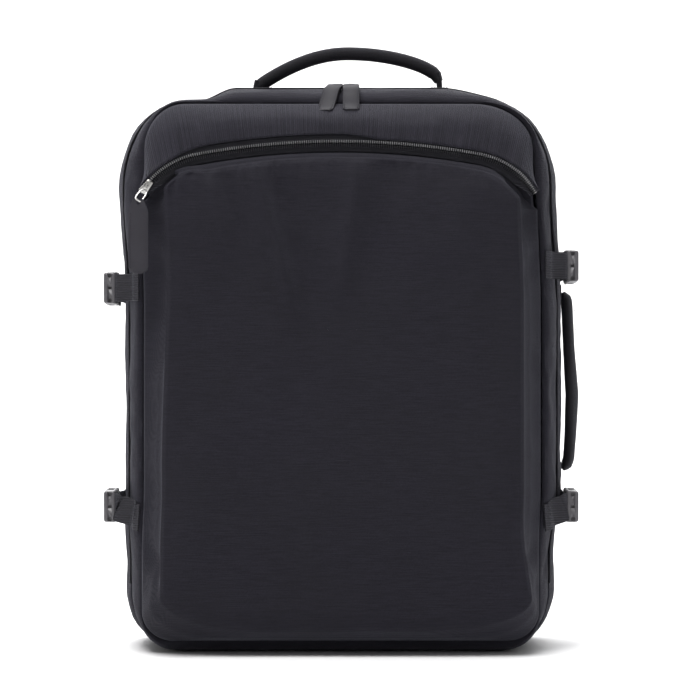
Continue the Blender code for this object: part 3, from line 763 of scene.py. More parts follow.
def arch(t, shift=0.0):
    """(x, z) on the pocket zip's arch, t from -1 (left end) to 1, moved outwards by shift."""
    along = abs(t) * ARCH_WHOLE
    side = 1.0 if t >= 0 else -1.0
    if along <= ARCH_FLAT:
        angle, cx, cz, radius = along / ARCH_RADIUS, 0.0, ARCH_TOP - ARCH_RADIUS, ARCH_RADIUS
    else:
        angle, cx, cz, radius = ARCH_START + (along - ARCH_FLAT) / ARCH_CORNER, ARCH_CX, ARCH_CZ, ARCH_CORNER
    return side * (cx + (radius + shift) * math.sin(angle)), cz + (radius + shift) * math.cos(angle)


def arch_fade(t):
    """0 along the arch, rising to 1 at its two ends."""
    return smooth_step((abs(t) - ARCH_FADE) / (1 - ARCH_FADE))


def arch_line(shift, y):
    """The arch moved outwards by shift, a number or a function of t, and forwards or back to y."""
    line = []
    for i in range(ARCH_STEPS + 1):
        t = -1 + 2 * i / ARCH_STEPS
        fade = arch_fade(t)
        away = shift(t) if callable(shift) else shift * (1 - 0.5 * fade)
        x, z = arch(t, away)
        line.append(Vector((x, y + 0.004 * fade, z)))
    return line


def follow_sway(rows):
    """Moves rows of points sideways with the soft body, as the front pocket does."""
    for row in rows:
        for p in row:
            p.x += sway(p.z) * POCKET_SWAY


def pocket_ring(side, low, drop, y_side, y_top, flare=0.0, corner=(0.104, 0.045)):
    """Closed outline of the pocket face: its top follows the zip's arch, drop below it.

    flare widens its lower right, where the pocket is sewn flat. The upper left corner reaches
    nearer to the zip than the rest."""
    wide, tall = corner
    end_z = arch(1.0, -drop)[1] - 0.004

    def at_side(pairs):
        return [Vector((x, y_side, z)) for x, z in pairs]

    points = at_side([
        *straight((0, low), (side - wide, low), 12),
        *quarter(side - wide, low + tall, corner, -90, 30),
        *straight((side, low + tall), (side, end_z), 70),
    ])
    steps = 120
    for i in range(steps + 1):
        t = 1 - 2 * i / steps
        x, z = arch(t, -drop * (1 - 0.45 * smooth_step((-t - 0.66) / 0.16)))
        share = smooth_step((1 - abs(t)) / 0.28)
        points.append(Vector((math.copysign(min(abs(x), side), x), y_side + (y_top - y_side) * share, z)))
    points += at_side([
        *straight((-side, end_z), (-side, low + tall), 70),
        *quarter(wide - side, low + tall, corner, 180, 30),
        *straight((wide - side, low), (0, low), 12),
    ])
    for p in points:
        p.x += flare * smooth_step((0.13 - p.z) / 0.10) * smooth_step((p.x - 0.09) / 0.06)
    return points


FACE_FOLDS = (
    ((-0.076, 0.432), (-0.040, 0.285), 0.0085, 0.0030),
    ((-0.056, 0.436), (-0.020, 0.290), 0.0130, -0.0022),
    ((0.020, 0.444), (-0.002, 0.320), 0.0100, 0.0024),
    ((0.044, 0.440), (0.034, 0.330), 0.0140, -0.0020),
    ((-0.122, 0.425), (-0.104, 0.355), 0.0070, 0.0018),
    ((-0.106, 0.430), (-0.086, 0.365), 0.0060, -0.0014),
    ((0.090, 0.250), (0.128, 0.140), 0.0160, 0.0016),
    ((-0.120, 0.200), (-0.140, 0.060), 0.0140, 0.0016),
    ((0.105, 0.410), (0.122, 0.290), 0.0110, 0.0016),
    ((0.152, 0.180), (0.150, 0.060), 0.0050, -0.0016),
)


def face_folds(x, z):
    """Soft folds of the pocket's face: broad drag lines below the zip, puckers along its top."""
    depth = ripple(x, 0.0, z, 0.11, 0.0012, 7.0) + ripple(x, 0.0, z, 0.035, 0.00035, 1.0)
    depth = creases(x, z, FACE_FOLDS, depth)
    below = arch_height(x) - 0.012 - z
    if 0 < below < 0.06:
        strength = math.exp(-below / 0.012) * (0.5 + 0.5 * noise.noise(Vector((x * 24, 2.0, 0.0))))
        left = 1.0 + 1.1 * math.exp(-((x + 0.09) / 0.045) ** 2)
        depth += 0.0014 * strength * left * math.sin(x * 470 + 3.0 * noise.noise(Vector((x * 40, 0.5, 0))))
    return depth * (1 + 0.7 * smooth_step((z - 0.27) / 0.08))


def arch_height(x):
    """Height of the pocket zip's arch above x."""
    side = abs(x)
    if side <= ARCH_HALF:
        return ARCH_TOP - ARCH_RADIUS + math.sqrt(ARCH_RADIUS ** 2 - side ** 2)
    reach = min(side - ARCH_CX, ARCH_CORNER * 0.999)
    return ARCH_CZ + math.sqrt(ARCH_CORNER ** 2 - reach ** 2)


def side_folds(x, z):
    """Slack folds of the pocket's sides, at most where the zip's end pulls the cloth."""
    fold = 0.0
    for height, slope, width, size in (
        (0.386, 0.5, 0.010, 0.0030), (0.362, 0.9, 0.008, -0.0022), (0.340, 0.6, 0.012, 0.0020),
        (0.262, -0.5, 0.012, 0.0014), (0.180, 0.4, 0.014, -0.0012), (0.086, 1.1, 0.009, 0.0024),
        (0.064, 1.3, 0.008, -0.0022), (0.044, 1.2, 0.007, 0.0018),
    ):
        line = z - height - slope * (abs(x) - 0.170)
        fold += size * math.exp(-(line / width) ** 2)
    return fold + ripple(x, 1.0, z, 0.03, 0.0008, 5.0)


def make_pocket_face():
    edge = 0.0072
    keys = (  # rings from the seam to the front of the face, and the steps to the next one
        (pocket_ring(0.1785, 0.0112, edge + 0.0012, SEAM_Y - 0.0012, CHAIN_Y - 0.0012,
                     corner=(0.028, 0.026)), 3),
        (pocket_ring(0.1765, 0.0118, edge + 0.0020, SEAM_Y - 0.0065, CHAIN_Y - 0.0030,
                     corner=(0.034, 0.028)), 5),
        (pocket_ring(0.1706, 0.0150, edge + 0.0036, SEAM_Y - 0.0190, CHAIN_Y - 0.0050, 0.004,
                     (0.062, 0.031)), 4),
        (pocket_ring(0.1645, 0.0195, edge + 0.0050, -0.0990, -0.1025, 0.008, (0.086, 0.031)), 3),
        (pocket_ring(0.1615, 0.0228, edge + 0.0066, -0.1035, -0.1045, 0.0105, (0.090, 0.031)), 4),
        (pocket_ring(0.1580, 0.0262, edge + 0.0100, -0.1060, -0.1060, 0.0110, (0.090, 0.034)), 6),
        (pocket_ring(0.1480, 0.0360, edge + 0.0205, -0.1076, -0.1076, 0.0105, (0.086, 0.040)), 0),
    )
    rings = []
    for (a, steps), (b, _) in zip(keys, keys[1:]):
        rings += [[p.lerp(q, i / steps) for p, q in zip(a, b)] for i in range(steps)]
    flat = keys[-1][0]
    steps, middle = 34, 0.235
    for i in range(steps + 1):
        t = i / steps
        ring = []
        for k, p in enumerate(flat):
            level = p.z + (flat[-1 - k].z - p.z) * 0.5 * t
            z = level + (middle + (level - middle) * 0.30 - level) * t
            ring.append(Vector((p.x * (1 - 0.9 * t), p.y - 0.0022 * math.sin(t * math.pi / 2), z)))
        rings.append(ring)
    for k, ring in enumerate(rings):
        fold_face_ring(k, ring)
    data = grid_data("pocket_face_cloth", rings, closed=True)
    close_seam(data, len(rings[0]))
    piece = new_piece("pocket_face_cloth", data, "lid", ["shell", "lining"],
                      ["pocket_face"])
    thicken(piece, 0.0013, inner=1)


def fold_face_ring(k, ring):
    """Folds and pleats ring k of the pocket face: the pleat lies before the fold row."""
    fold_row = 15
    inside = smooth_step((k - fold_row + 3) / 8)
    pleat = math.sin(math.pi * min(k / fold_row, 1.0)) ** 1.3
    for p in ring:
        upright = smooth_step((abs(p.x) - 0.145) / 0.014) * smooth_step((p.z - 0.045) / 0.03)
        deep = 0.0055 + 0.0075 * smooth_step((p.z - 0.24) / 0.08)
        if p.x > 0:
            deep = 0.0030 + 0.0035 * smooth_step((p.z - 0.34) / 0.04)
        p.y -= face_folds(p.x, p.z) * inside
        p.x -= math.copysign(pleat * upright * (deep + side_folds(p.x, p.z)), p.x)
        p.x += sway(p.z) * POCKET_SWAY
        if p.x < -0.02:
            shift = 0.0012 + 0.0052 * smooth_step((p.z - 0.17) / 0.2)
            p.x += shift * smooth_step((k - 5) / 9) * smooth_step((-p.x - 0.02) / 0.12)


def close_seam(data, count):
    """Joins the two halves of the innermost ring, whose points mirror each other."""
    def close(work):
        ring = work.verts[-count:]
        for i in range(count // 2):
            corners = []
            for v in (ring[i], ring[i + 1], ring[count - 2 - i], ring[count - 1 - i]):
                if v not in corners:
                    corners.append(v)
            if len(corners) > 2 and not work.faces.get(corners):
                work.faces.new(corners)

    edit_mesh(data, close)


def seam_line():
    """The front seam, from the zip's left end over the top to its right end."""
    ring = seam_ring(0.0020, SEAM_Y - 0.0012)
    upper = [p for p in ring[LOW_COUNT:len(ring) - LOW_COUNT + 1] if p.z > 0.4225]
    line = resampled(upper[::-1], 0.0001)
    return [line[int(round(i * (len(line) - 1) / ARCH_STEPS))] for i in range(ARCH_STEPS + 1)]


def make_top_band():
    """The band above the curved zip: it leans out from the seam to the zip."""
    def edge_shift(t):
        return 0.0042 + 0.0038 * smooth_step((t + 0.84) / 0.24) * smooth_step((0.22 - t) / 0.2)

    ends = list(zip(seam_line(), arch_line(edge_shift, CHAIN_Y - 0.0012)))
    rows = []
    across = 16
    for k in range(across + 1):
        t = k / across
        row = []
        for i, (a, b) in enumerate(ends):
            p = a.lerp(b, t)
            wide = smooth_step(min(i, ARCH_STEPS - i) / 26)
            bulge = math.sin(math.pi * t ** 0.8) * (0.0026 + 0.0062 * wide)
            p.y -= bulge * (0.55 + 0.45 * wide)
            loose = math.sin(math.pi * t) * wide
            p.y -= loose * (ripple(p.x, 0.0, p.z * 2, 0.06, 0.0014, 9.0)
                            + ripple(p.x, 0.0, p.z, 0.022, 0.0005, 2.0))
            row.append(p)
        rows.append(row)
    follow_sway(rows)
    data = grid_data("pocket_band_cloth", rows)
    # the band cloth's lighter colour is painted top light
    piece = new_piece("pocket_band_cloth", data, "lid", ["band", "lining"],
                      ["pocket_top_band"])
    SURFACES["band"] = tree_of(data)
    thicken(piece, 0.0012, inner=1, offset=1.0)
    lower = [p + Vector((0, -0.0008, 0.0012)) for p in rows[-2]]
    stitches("band_edge_stitches", lower, (0, -1, 0), "lid")


def make_pocket_zip():
    # lit and shaded copies of one coil: the upper row takes the light grey coil as painted top light and
    # highlight, the lower row the black plastic as painted shade
    for name, sign, finish in (("upper", 1.0, "coil"), ("lower", -1.0, "dark_plastic")):
        rows = [arch_line(sign * shift, CHAIN_Y + deep) for shift, deep in
                ((0.0004, -0.0004), (0.0030, -0.0006), (0.0060, 0.0), (0.0090, 0.0012))]
        follow_sway(rows)
        piece = new_piece(f"pocket_zip_{name}_cloth", grid_data(f"pocket_zip_{name}_cloth", rows), "lid",
                          ["tape"], [f"pocket_zip_{name}_tape"])
        thicken(piece, 0.0007, offset=0.0)
        line = arch_line(sign * 0.0017, CHAIN_Y - 0.0016)
        zip_teeth(f"pocket_zip_{name}_coil", line, finish)


def zip_teeth(name, line, finish):
    """One half of the pocket zip's coil along a line."""
    points = resampled([p + Vector((sway(p.z) * POCKET_SWAY, 0, 0)) for p in line], 0.00195)
    rows = [(place, ahead, (0, -1, 0)) for place, ahead in with_direction(points)]
    return beads(name, rows, (0.00108, 0.0036, 0.0026), "lid", finish)


# ---------------------------------------------------------------- main zip


def zip_ring(y, lift=0.0):
    """The main zip's line from its right end over the top to its left end."""
    ring = body_ring(ZIP_HALF + lift, 0.004 - lift, y)
    return ring[LOW_COUNT:len(ring) - LOW_COUNT + 1]


def make_main_zip():
    def outward(p):
        return Vector((p.x * 0.8 if p.z < 0.46 else p.x * 0.3, 0, max(p.z - 0.40, 0.0)))

    for half, side, body in (("front", -1.0, "lid"), ("rear", 1.0, "shell")):
        rows = [zip_ring(ZIP_Y + side * away, lift) for away, lift in
                ((0.0004, 0.0), (0.0032, 0.0), (0.0060, 0.0006))]
        piece = new_piece(f"main_zip_{half}_cloth", grid_data(f"main_zip_{half}_cloth", rows), body,
                          ["tape"], [f"main_zip_{half}_tape"])
        thicken(piece, 0.0009, offset=0.0)
        points = resampled(zip_ring(ZIP_Y + side * 0.0014, 0.0006), 0.00160)
        teeth = [(place, ahead, outward(place)) for place, ahead in with_direction(points)]
        # the teeth take the coil material, whose light grey is painted highlight
        beads(f"main_zip_{half}_coil", teeth, (0.00124, 0.0028, 0.0018), body, "coil")


def make_hinge_fabric():
    """The cloth hinge: its flat bottom bends from the shell to the lid, and its corners are split."""
    front, back = TAPE_LOW.y - 0.001, REAR_TAPE_HIGH.y + 0.001
    flat = BASE_STEPS - 1

    def hinge_data(name, start, end, pick):
        return grid_data(name, [pick(body_ring(ZIP_HALF, 0.004, float(y))) for y in np.linspace(start, end, 13)])

    data = hinge_data("hinge_cloth", front, back, lambda ring: ring[-flat:] + ring[:flat + 1])
    piece = new_piece("hinge_cloth", data, None, ["shell"],
                      ["hinge_fabric_front", "hinge_fabric_rear"])
    thicken(piece, 0.0014)
    apply_modifiers(piece)
    for v in piece.data.vertices:
        v.co.z = max(v.co.z, 0.0)
    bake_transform(piece)
    gap = 0.0003
    for half, start, end, body in (("front", front, ZIP_Y - gap, "lid"), ("rear", ZIP_Y + gap, back, "shell")):
        for side, pick in (("right", lambda ring: ring[flat:LOW_COUNT + 1]),
                           ("left", lambda ring: ring[-LOW_COUNT:1 - flat])):
            name = f"hinge_corner_{half}_{side}"
            piece = new_piece(name, hinge_data(name, start, end, pick), body, ["shell"])
            thicken(piece, 0.0014)


# ---------------------------------------------------------------- sliders and pulls


def slider_mesh(long, wide, high):
    """A coil zip's slider, nose towards +X, wings up: body, throat and bridge."""
    work = block_mesh((-long / 2, -wide / 2, 0), (long / 2, wide / 2, high * 0.62), high * 0.16, 2)
    for v in work.verts:
        t = v.co.x / long + 0.5
        v.co.y *= 1.0 - 0.34 * smooth_step((t - 0.35) / 0.65) - 0.12 * smooth_step((0.18 - t) / 0.18)
    bridge = bmesh.new()
    profile = [(-0.30, 0.55), (-0.26, 1.0), (-0.16, 1.18), (0.10, 1.18), (0.20, 1.0), (0.24, 0.55)]
    rows = [[bridge.verts.new((x * long, side * wide * 0.13, z * high)) for x, z in profile]
            for side in (-1, 1)]
    bridge.faces.new(rows[0][::-1])
    bridge.faces.new(rows[1])
    skin(bridge, rows)
    data = bpy.data.meshes.new("bridge")
    bridge.to_mesh(data)
    bridge.free()
    work.from_mesh(data)
    bpy.data.meshes.remove(data)
    return work


def placed_piece(name, work, place, body, finishes, replaces=(), angle=40):
    bmesh.ops.transform(work, matrix=place, verts=work.verts)
    return new_piece(name, mesh_of(name, work, angle=angle), body, finishes, replaces)


def soft_tab(length, wide, thick, corner, neck, bend=None):
    """A flat moulded or sewn tab that hangs from the origin along -Z, its face towards -Y.

    bend gives each distance along the tab its own (y, z) place, for a tab that lies over an edge."""
    def at(x, y, z):
        if not bend:
            return (x, y, z)
        place, out = bend(-z)
        return (x, place[0] - out[0] * y, place[1] - out[1] * y)

    slices = 22
    profile = ((-1, -0.25), (-1, 0.25), (-0.9, 0.5), (0, 0.5), (0.9, 0.5), (1, 0.25), (1, -0.25), (0.9, -0.5),
               (0, -0.5), (-0.9, -0.5))
    work = bmesh.new()
    rows = []
    for i in range(slices + 1):
        t = i / slices
        left = length - length * t
        half = wide / 2
        if t < 0.16:
            half = neck / 2 + (wide - neck) / 2 * (t / 0.16)
        if left < corner:
            half = wide / 2 - corner + math.sqrt(max(corner ** 2 - (corner - left) ** 2, (corner * 0.15) ** 2))
        rows.append([work.verts.new(at(half * a, thick * b, -length * t)) for a, b in profile])
    skin(work, rows)
    work.faces.new(rows[0])
    work.faces.new(rows[-1][::-1])
    return work


def tab_stitches(name, length, wide, thick, place, body):
    """Edge stitching on a flat tab's face."""
    inset = 0.0016
    half, low = wide / 2 - inset, -length + inset
    path = [(-half, -length * 0.2), (-half, low + 0.004), (-half + 0.004, low), (half - 0.004, low),
            (half, low + 0.004), (half, -length * 0.2)]
    points = [place @ Vector((x, -thick * 0.5, z)) for x, z in path]
    stitches(name, points, place.to_3x3() @ Vector((0, -1, 0)), body, pitch=0.0026)


def bent_at(spine):
    """Place and outward direction at a distance along a bent strip, given its (y, z) spine."""
    path = resampled(smooth_path([Vector((0, y, z)) for y, z in spine], 8), 0.0005)
    step = sum((b - a).length for a, b in zip(path, path[1:])) / (len(path) - 1)

    def bend(distance):
        i = min(int(distance / step), len(path) - 2)
        ahead = (path[i + 1] - path[i]).normalized()
        place = path[i] + ahead * (distance - i * step)
        return (place.y, place.z), (ahead.z, -ahead.y)

    return bend


def draped_spine(x, start, length, gap):
    """(y, z) spine, from start, of a strip that lies on the lid's top and hangs over its front edge."""
    path = [start]
    for y in np.linspace(start.y - 0.004, SEAM_Y + 0.003, 5):
        hit = SURFACES["lid"].ray_cast(Vector((x, y, 0.6)), Vector((0, 0, -1)))[0]
        if hit:
            path.append(Vector((x, y - gap * 0.3, hit.z + gap)))
    for z in np.linspace(path[-1].z - 0.008, path[-1].z - 0.030, 5):
        hit = SURFACES["band"].ray_cast(Vector((x, -0.3, z)), Vector((0, 1, 0)))[0]
        if hit:
            path.append(Vector((x, hit.y - gap, z)))
    line = resampled(smooth_path(path, 6), 0.0005)
    return [(p.y - start.y, p.z - start.z) for p in line[:int(length / 0.0005)]]


def make_main_sliders():
    wide, thick, corner, neck = 0.0150, 0.0024, 0.0026, 0.0110
    for hand, nose, length, lean in (("left", 1.0, 0.0500, 17), ("right", -1.0, 0.0485, 0)):
        body, pull = f"main_slider_{hand}", f"main_pull_{hand}"
        low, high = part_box(body)
        centre = Vector(((low.x + high.x) / 2, ZIP_Y, low.z + 0.0006 + TOP_LIFT))
        turn = Matrix.Translation(centre) @ Matrix.Rotation(0 if nose > 0 else math.pi, 4, "Z")
        placed_piece(f"{body}_metal", slider_mesh(0.0122, 0.0084, 0.0034), turn, body, ["metal"],
                     [body])
        eye = Vector((centre.x + 0.001 * nose, ZIP_Y - 0.0130, 0.6))
        eye.z = SURFACES["lid"].ray_cast(eye, Vector((0, 0, -1)))[0].z + 0.0030
        bend = bent_at(draped_spine(eye.x, eye, length + 0.006, 0.0040))
        place = Matrix.Translation(eye) @ Matrix.Rotation(math.radians(-lean), 4, "Z")
        placed_piece(f"{pull}_tab", soft_tab(length, wide, thick, corner, neck, bend), place, pull,
                     ["soft_rubber"], [pull])
        under = soft_tab(length * 0.985, wide * 0.96, 0.0014, corner, neck, lambda d: lifted(bend(d), -0.0016))
        placed_piece(f"{pull}_fold", under, place, pull, ["soft_rubber"])
        half = wide / 2 - 0.0016
        rows = []
        for x, share in ((-half, 0.3), (-half, 0.5), (-half, 0.75), (-half, 0.955), (0.0, 0.965),
                         (half, 0.955), (half, 0.75), (half, 0.5), (half, 0.3)):
            y, z = lifted(bend(length * share), thick * 0.5)[0]
            rows.append(place @ Vector((x, y, z)))
        out = place.to_3x3() @ Vector((0, -0.8, 0.4))
        stitches(f"{pull}_stitches", rows, out, pull, 0.0026)
        wire = [(-0.0036, -0.0020, 0.0008), (-0.0034, 0.0050, 0.0012), (0, 0.0112, 0.0026),
                (0.0034, 0.0050, 0.0012), (0.0036, -0.0020, 0.0008), (0, -0.0044, 0.0014)]
        wire_loop(f"{pull}_wire", [place @ Vector(p) for p in wire], 0.0008, pull)


def lifted(spot, height):
    (y, z), out = spot
    return (y + out[0] * height, z + out[1] * height), out


def wire_loop(name, points, radius, body, replaces=()):
    """A closed wire link through the points."""
    path = smooth_path([*points, points[0]], 5)[:-1]
    ahead = (path[1] - path[0]).normalized()
    side = ahead.cross((path[len(path) // 2] - path[0]).normalized()).normalized()
    return new_piece(name, tube_data(name, path, radius, 8, side), body, ["metal"], replaces)


def make_pocket_slider():
    low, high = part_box("pocket_slider")
    centre = (low + high) / 2
    centre.x += sway(centre.z) * POCKET_SWAY
    centre.y = CHAIN_Y - 0.0020
    tilt = Matrix.Rotation(-math.radians(SLIDER_DEG), 4, "Y") @ Matrix.Rotation(math.pi / 2, 4, "X")
    placed_piece("pocket_slider_metal", slider_mesh(0.0128, 0.0086, 0.0046), Matrix.Translation(centre) @ tilt,
                 "pocket_slider", ["metal"], ["pocket_slider"])
    low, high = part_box("pocket_wire_loop")
    hook = Vector((high.x - 0.0032, high.y - 0.0004, high.z - 0.0022))
    eye = Vector((low.x + 0.0032, low.y + 0.0006, low.z + 0.0022))
    ahead = (eye - hook).normalized()
    across = ahead.cross(Vector((0, 1, 0))).normalized() * 0.0031
    ends = [hook + across * 0.8, eye + across, eye + ahead * 0.0016, eye - across, hook - across * 0.8]
    wire_loop("pocket_loop_wire", ends, 0.00075, "pocket_wire_loop", ["pocket_wire_loop"])
    low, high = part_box("pocket_pull")
    top = Vector(((low.x + high.x) / 2, (low.y + high.y) / 2, high.z + 0.0040))
    place = Matrix.Translation(top)
    length, wide, thick = top.z - low.z, high.x - low.x, 0.0024
    piece = placed_piece("pocket_pull_tab", soft_tab(length, wide, thick, 0.0062, 0.0095), place, "pocket_pull",
                         ["rubber"], ["pocket_pull"])
    cut(piece, rod(top + Vector((0, -0.01, -0.0032)), top + Vector((0, 0.01, -0.0032)), 0.0017))
    tab_stitches("pocket_pull_stitches", length, wide, thick, place, "pocket_pull")


# ---------------------------------------------------------------- buckles and webbing


def make_buckle(where):
    side = -1.0 if where.startswith("left") else 1.0
    socket, plug, body = f"buckle_socket_{where}", f"buckle_plug_{where}", f"plug_{where}"
    low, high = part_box(socket)
    plug_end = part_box(plug)[1].y
    z = (low.z + high.z) / 2
    inner, outer = sorted((abs(low.x), abs(high.x)))
    m = (inner + outer) / 2
    middle = side * m
    front, mouth = low.y, high.y

    def box(x_low, x_high, y_low, y_high, z_low, z_high, bevel=0.0):
        xs = sorted((side * x_low, side * x_high))
        return block_mesh((xs[0], y_low, z + z_low), (xs[1], y_high, z + z_high), bevel)

    def rivet_hole(up):
        return rod((middle, front - 0.01, z + up), (middle, front + 0.0026, z + up), 0.0019, 16)

    work = box(inner, outer, front, mouth, -0.0155, 0.0155, 0.0024)
    for v in work.verts:
        share = (v.co.y - front) / (mouth - front)
        v.co.z = z + (v.co.z - z) * (1.0 - 0.10 * smooth_step((0.35 - share) / 0.35))
    piece = new_piece(f"{socket}_shell", mesh_of(socket, work, angle=35), "lid", ["plastic"],
                      [socket])
    cut(piece,
        box(m - 0.0036, m + 0.0036, mouth - 0.0195, mouth + 0.01, -0.0130, 0.0130, 0.0005),  # mouth
        box(m - 0.0026, m + 0.0026, mouth - 0.0160, mouth - 0.0060, -0.03, -0.008, 0.0005),  # side windows
        box(m - 0.0026, m + 0.0026, mouth - 0.0160, mouth - 0.0060, 0.008, 0.03, 0.0005),
        box(0.19, inner + 0.0042, front + 0.0040, front + 0.0072, -0.0128, 0.0128, 0.0005),  # webbing slot
        box(m - 0.0017, m + 0.0017, front - 0.01, front + 0.0028, -0.0013, 0.0013, 0.0003),
        rivet_hole(0.0112), rivet_hole(-0.0112))
    start = mouth + 0.0003
    work = box(inner + 0.0004, outer - 0.0004, start, plug_end, -0.0155, 0.0155, 0.0022)
    piece = new_piece(f"{plug}_body", mesh_of(plug, work, angle=35), body, ["plastic"], [plug])
    cut(piece, box(0.19, 0.24, start + 0.0078, start + 0.0114, -0.0128, 0.0128, 0.0005))
    for hand, name in ((1, "upper"), (-1, "lower")):
        prong(f"{plug}_prong_{name}", middle, start, z, hand, body)
    guide = block_mesh((middle - 0.0016, start - 0.0130, z - 0.0022),
                       (middle + 0.0016, start + 0.0020, z + 0.0022), 0.0006)
    new_piece(f"{plug}_guide", mesh_of(plug, guide, angle=35), body, ["plastic"])
    make_straps(where, side, z, inner, front, mouth)


def prong(name, middle, start, z, hand, body):
    """One spring arm of a plug, with its catch that shows in the socket's side window."""
    shape = [(0.0048, 0.0020), (0.0064, -0.0060), (0.0092, -0.0160), (0.0108, -0.0168), (0.0119, -0.0150),
             (0.0124, -0.0110), (0.0112, -0.0072), (0.0098, -0.0060), (0.0094, 0.0020)]
    work = bmesh.new()
    rows = [[work.verts.new((middle + deep, start + y, z + hand * up)) for up, y in shape]
            for deep in (-0.0025, 0.0025)]
    skin(work, rows)
    work.faces.new(rows[0])
    work.faces.new(rows[1][::-1])
    bmesh.ops.bevel(work, geom=list(work.edges), offset=0.0004, segments=2, profile=0.5, affect="EDGES")
    new_piece(name, mesh_of(name, work, angle=35), body, ["plastic"])


def make_straps(where, side, z, inner, front, mouth):
    """A buckle's webbing: from the front seam to the socket, and from the plug along the shell."""
    def across(place):
        return [place + Vector((0, 0, k)) for k in (-0.0105, 0.0105)]

    drop = -0.009 if where.endswith("lower") else 0.0005
    path = [Vector((side * (side_at("lid", side, SEAM_Y + 0.0012, z + drop) + 0.0002), SEAM_Y - 0.0004, z + drop))]
    for y, share in ((SEAM_Y + 0.0045, 0.9), (-0.0610, 0.5)):
        reach = side_at("lid", side, y, z + drop * share) + 0.0009
        path.append(Vector((side * reach, y, z + drop * share)))
    path.append(Vector((side * max(abs(path[-1].x) + 0.0025, 0.2005), -0.0545, z + drop * 0.2)))
    for out, back in ((-0.0008, -0.0012), (0.0014, 0.0052), (-0.0012, 0.0105), (-0.0014, 0.0180)):
        path.append(Vector((side * (inner + out), front + back, z)))
    strap(f"front_web_{where}", path, WEB_WIDTH, 0.0014, "lid", "web", (0, 0, 1),
          replaces=[f"front_webbing_{where}"])
    edge = across(path[1] + Vector((side * 0.0008, -0.0004, 0)))
    stitches(f"front_web_stitches_{where}", edge, (side, -0.6, 0), "lid")
    path = [Vector((side * (BODY_HALF + 0.0012), mouth + 0.0035, z))]
    for y in (0.0040, 0.0160, 0.0300, 0.0440, 0.0580, 0.0700, 0.0790):
        path.append(Vector((side * (side_at("rear", side, y, z) + 0.0010), y, z)))
    piece = strap(f"rear_web_{where}", path, WEB_WIDTH, 0.0013, None, "web", (0, 0, 1),
                  replaces=[f"rear_webbing_{where}"])
    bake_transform(piece)
    for number, place in (("near", -2), ("far", -3)):
        row = across(path[place] + Vector((side * 0.0008, 0.002, 0)))
        stitches(f"rear_web_stitches_{where}_{number}", row, (side, 0, 0), "shell")
    rest = abs(path[2].x) + 0.0008
    tail = [(side * out, mouth + back, z - down) for out, back, down in (
        (BODY_HALF + 0.0026, 0.0160, 0), (rest + 0.0050, 0.0205, 0.001), (rest + 0.0052, 0.0330, 0.002),
        (rest + 0.0030, 0.0460, 0.003))]
    strap(f"web_tail_{where}", tail, WEB_WIDTH, 0.0013, f"plug_{where}", "web", (0, 0, 1))


# ---------------------------------------------------------------- handles


def sewn_patch(handle, name, lower, upper):
    """The patch over a handle's anchor: its box, with its corners moved."""
    anchor = f"{handle}_anchor_{name}"
    low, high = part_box(anchor)
    work = block_mesh(low + Vector(lower), high + Vector(upper), 0.0004, 2)
    new_piece(f"{handle}_patch_{name}", mesh_of("patch", work), "shell", ["web"], [anchor])
    return low, high


def make_top_handle():
    left, right = HANDLE_LOW.x - 0.0030, HANDLE_HIGH.x - 0.0045
    apex, pivot = HANDLE_HIGH.z - 0.006, 0.520
    y = (HANDLE_LOW.y + HANDLE_HIGH.y) / 2
    path = []
    steps = 60
    for i in range(steps + 1):
        t = i / steps
        rise = math.sin(math.pi * t) ** (0.86 if t < 0.5 else 0.50) if 0 < t < 1 else 0.0
        foot = pivot - (0.0075 if t < 0.5 else 0.001)
        path.append(Vector((left + (right - left) * t, y, foot + (apex - foot) * rise)))

    def section(share):
        full = smooth_step((min(share, 1 - share) + 0.02) / 0.05)
        return oval(0.0030 + 0.0031 * full, 0.0072 - 0.0008 * full)

    data = grid_data("top_handle_grip", turned(path, section), closed=True, ends=True)
    piece = new_piece("top_handle_grip", data, "top_handle", ["handle"], ["top_handle"])
    seam = [p + Vector((0, -0.0058, -0.0018)) for p in path[6:-6]]
    stitches("top_handle_seam", seam, (0, -1, 0), "top_handle")
    for (hand, side), end in zip(HANDS, (path[0], path[-1])):
        tab = [end + Vector((-side * 0.0012, 0, 0.0075)), end + Vector((0, 0, 0.002)),
               end + Vector((side * 0.0006, 0, -0.0052))]
        strap(f"top_handle_tab_{hand}", tab, 0.0135, 0.0050, "top_handle", "handle", (0, 1, 0))
    for hand, _ in HANDS:
        low, high = sewn_patch("top_handle", hand, (-0.001, -0.002, TOP_LIFT - 0.0038),
                               (0.001, 0.002, TOP_LIFT - 0.0027))
        corners = [(low.x, low.y), (high.x, low.y), (high.x, high.y), (low.x, high.y), (low.x, low.y)]
        row = [Vector((x, y_, high.z + TOP_LIFT - 0.0025)) for x, y_ in corners]
        stitches(f"top_handle_patch_stitches_{hand}", row, (0, 0, 1), "shell", 0.0026)


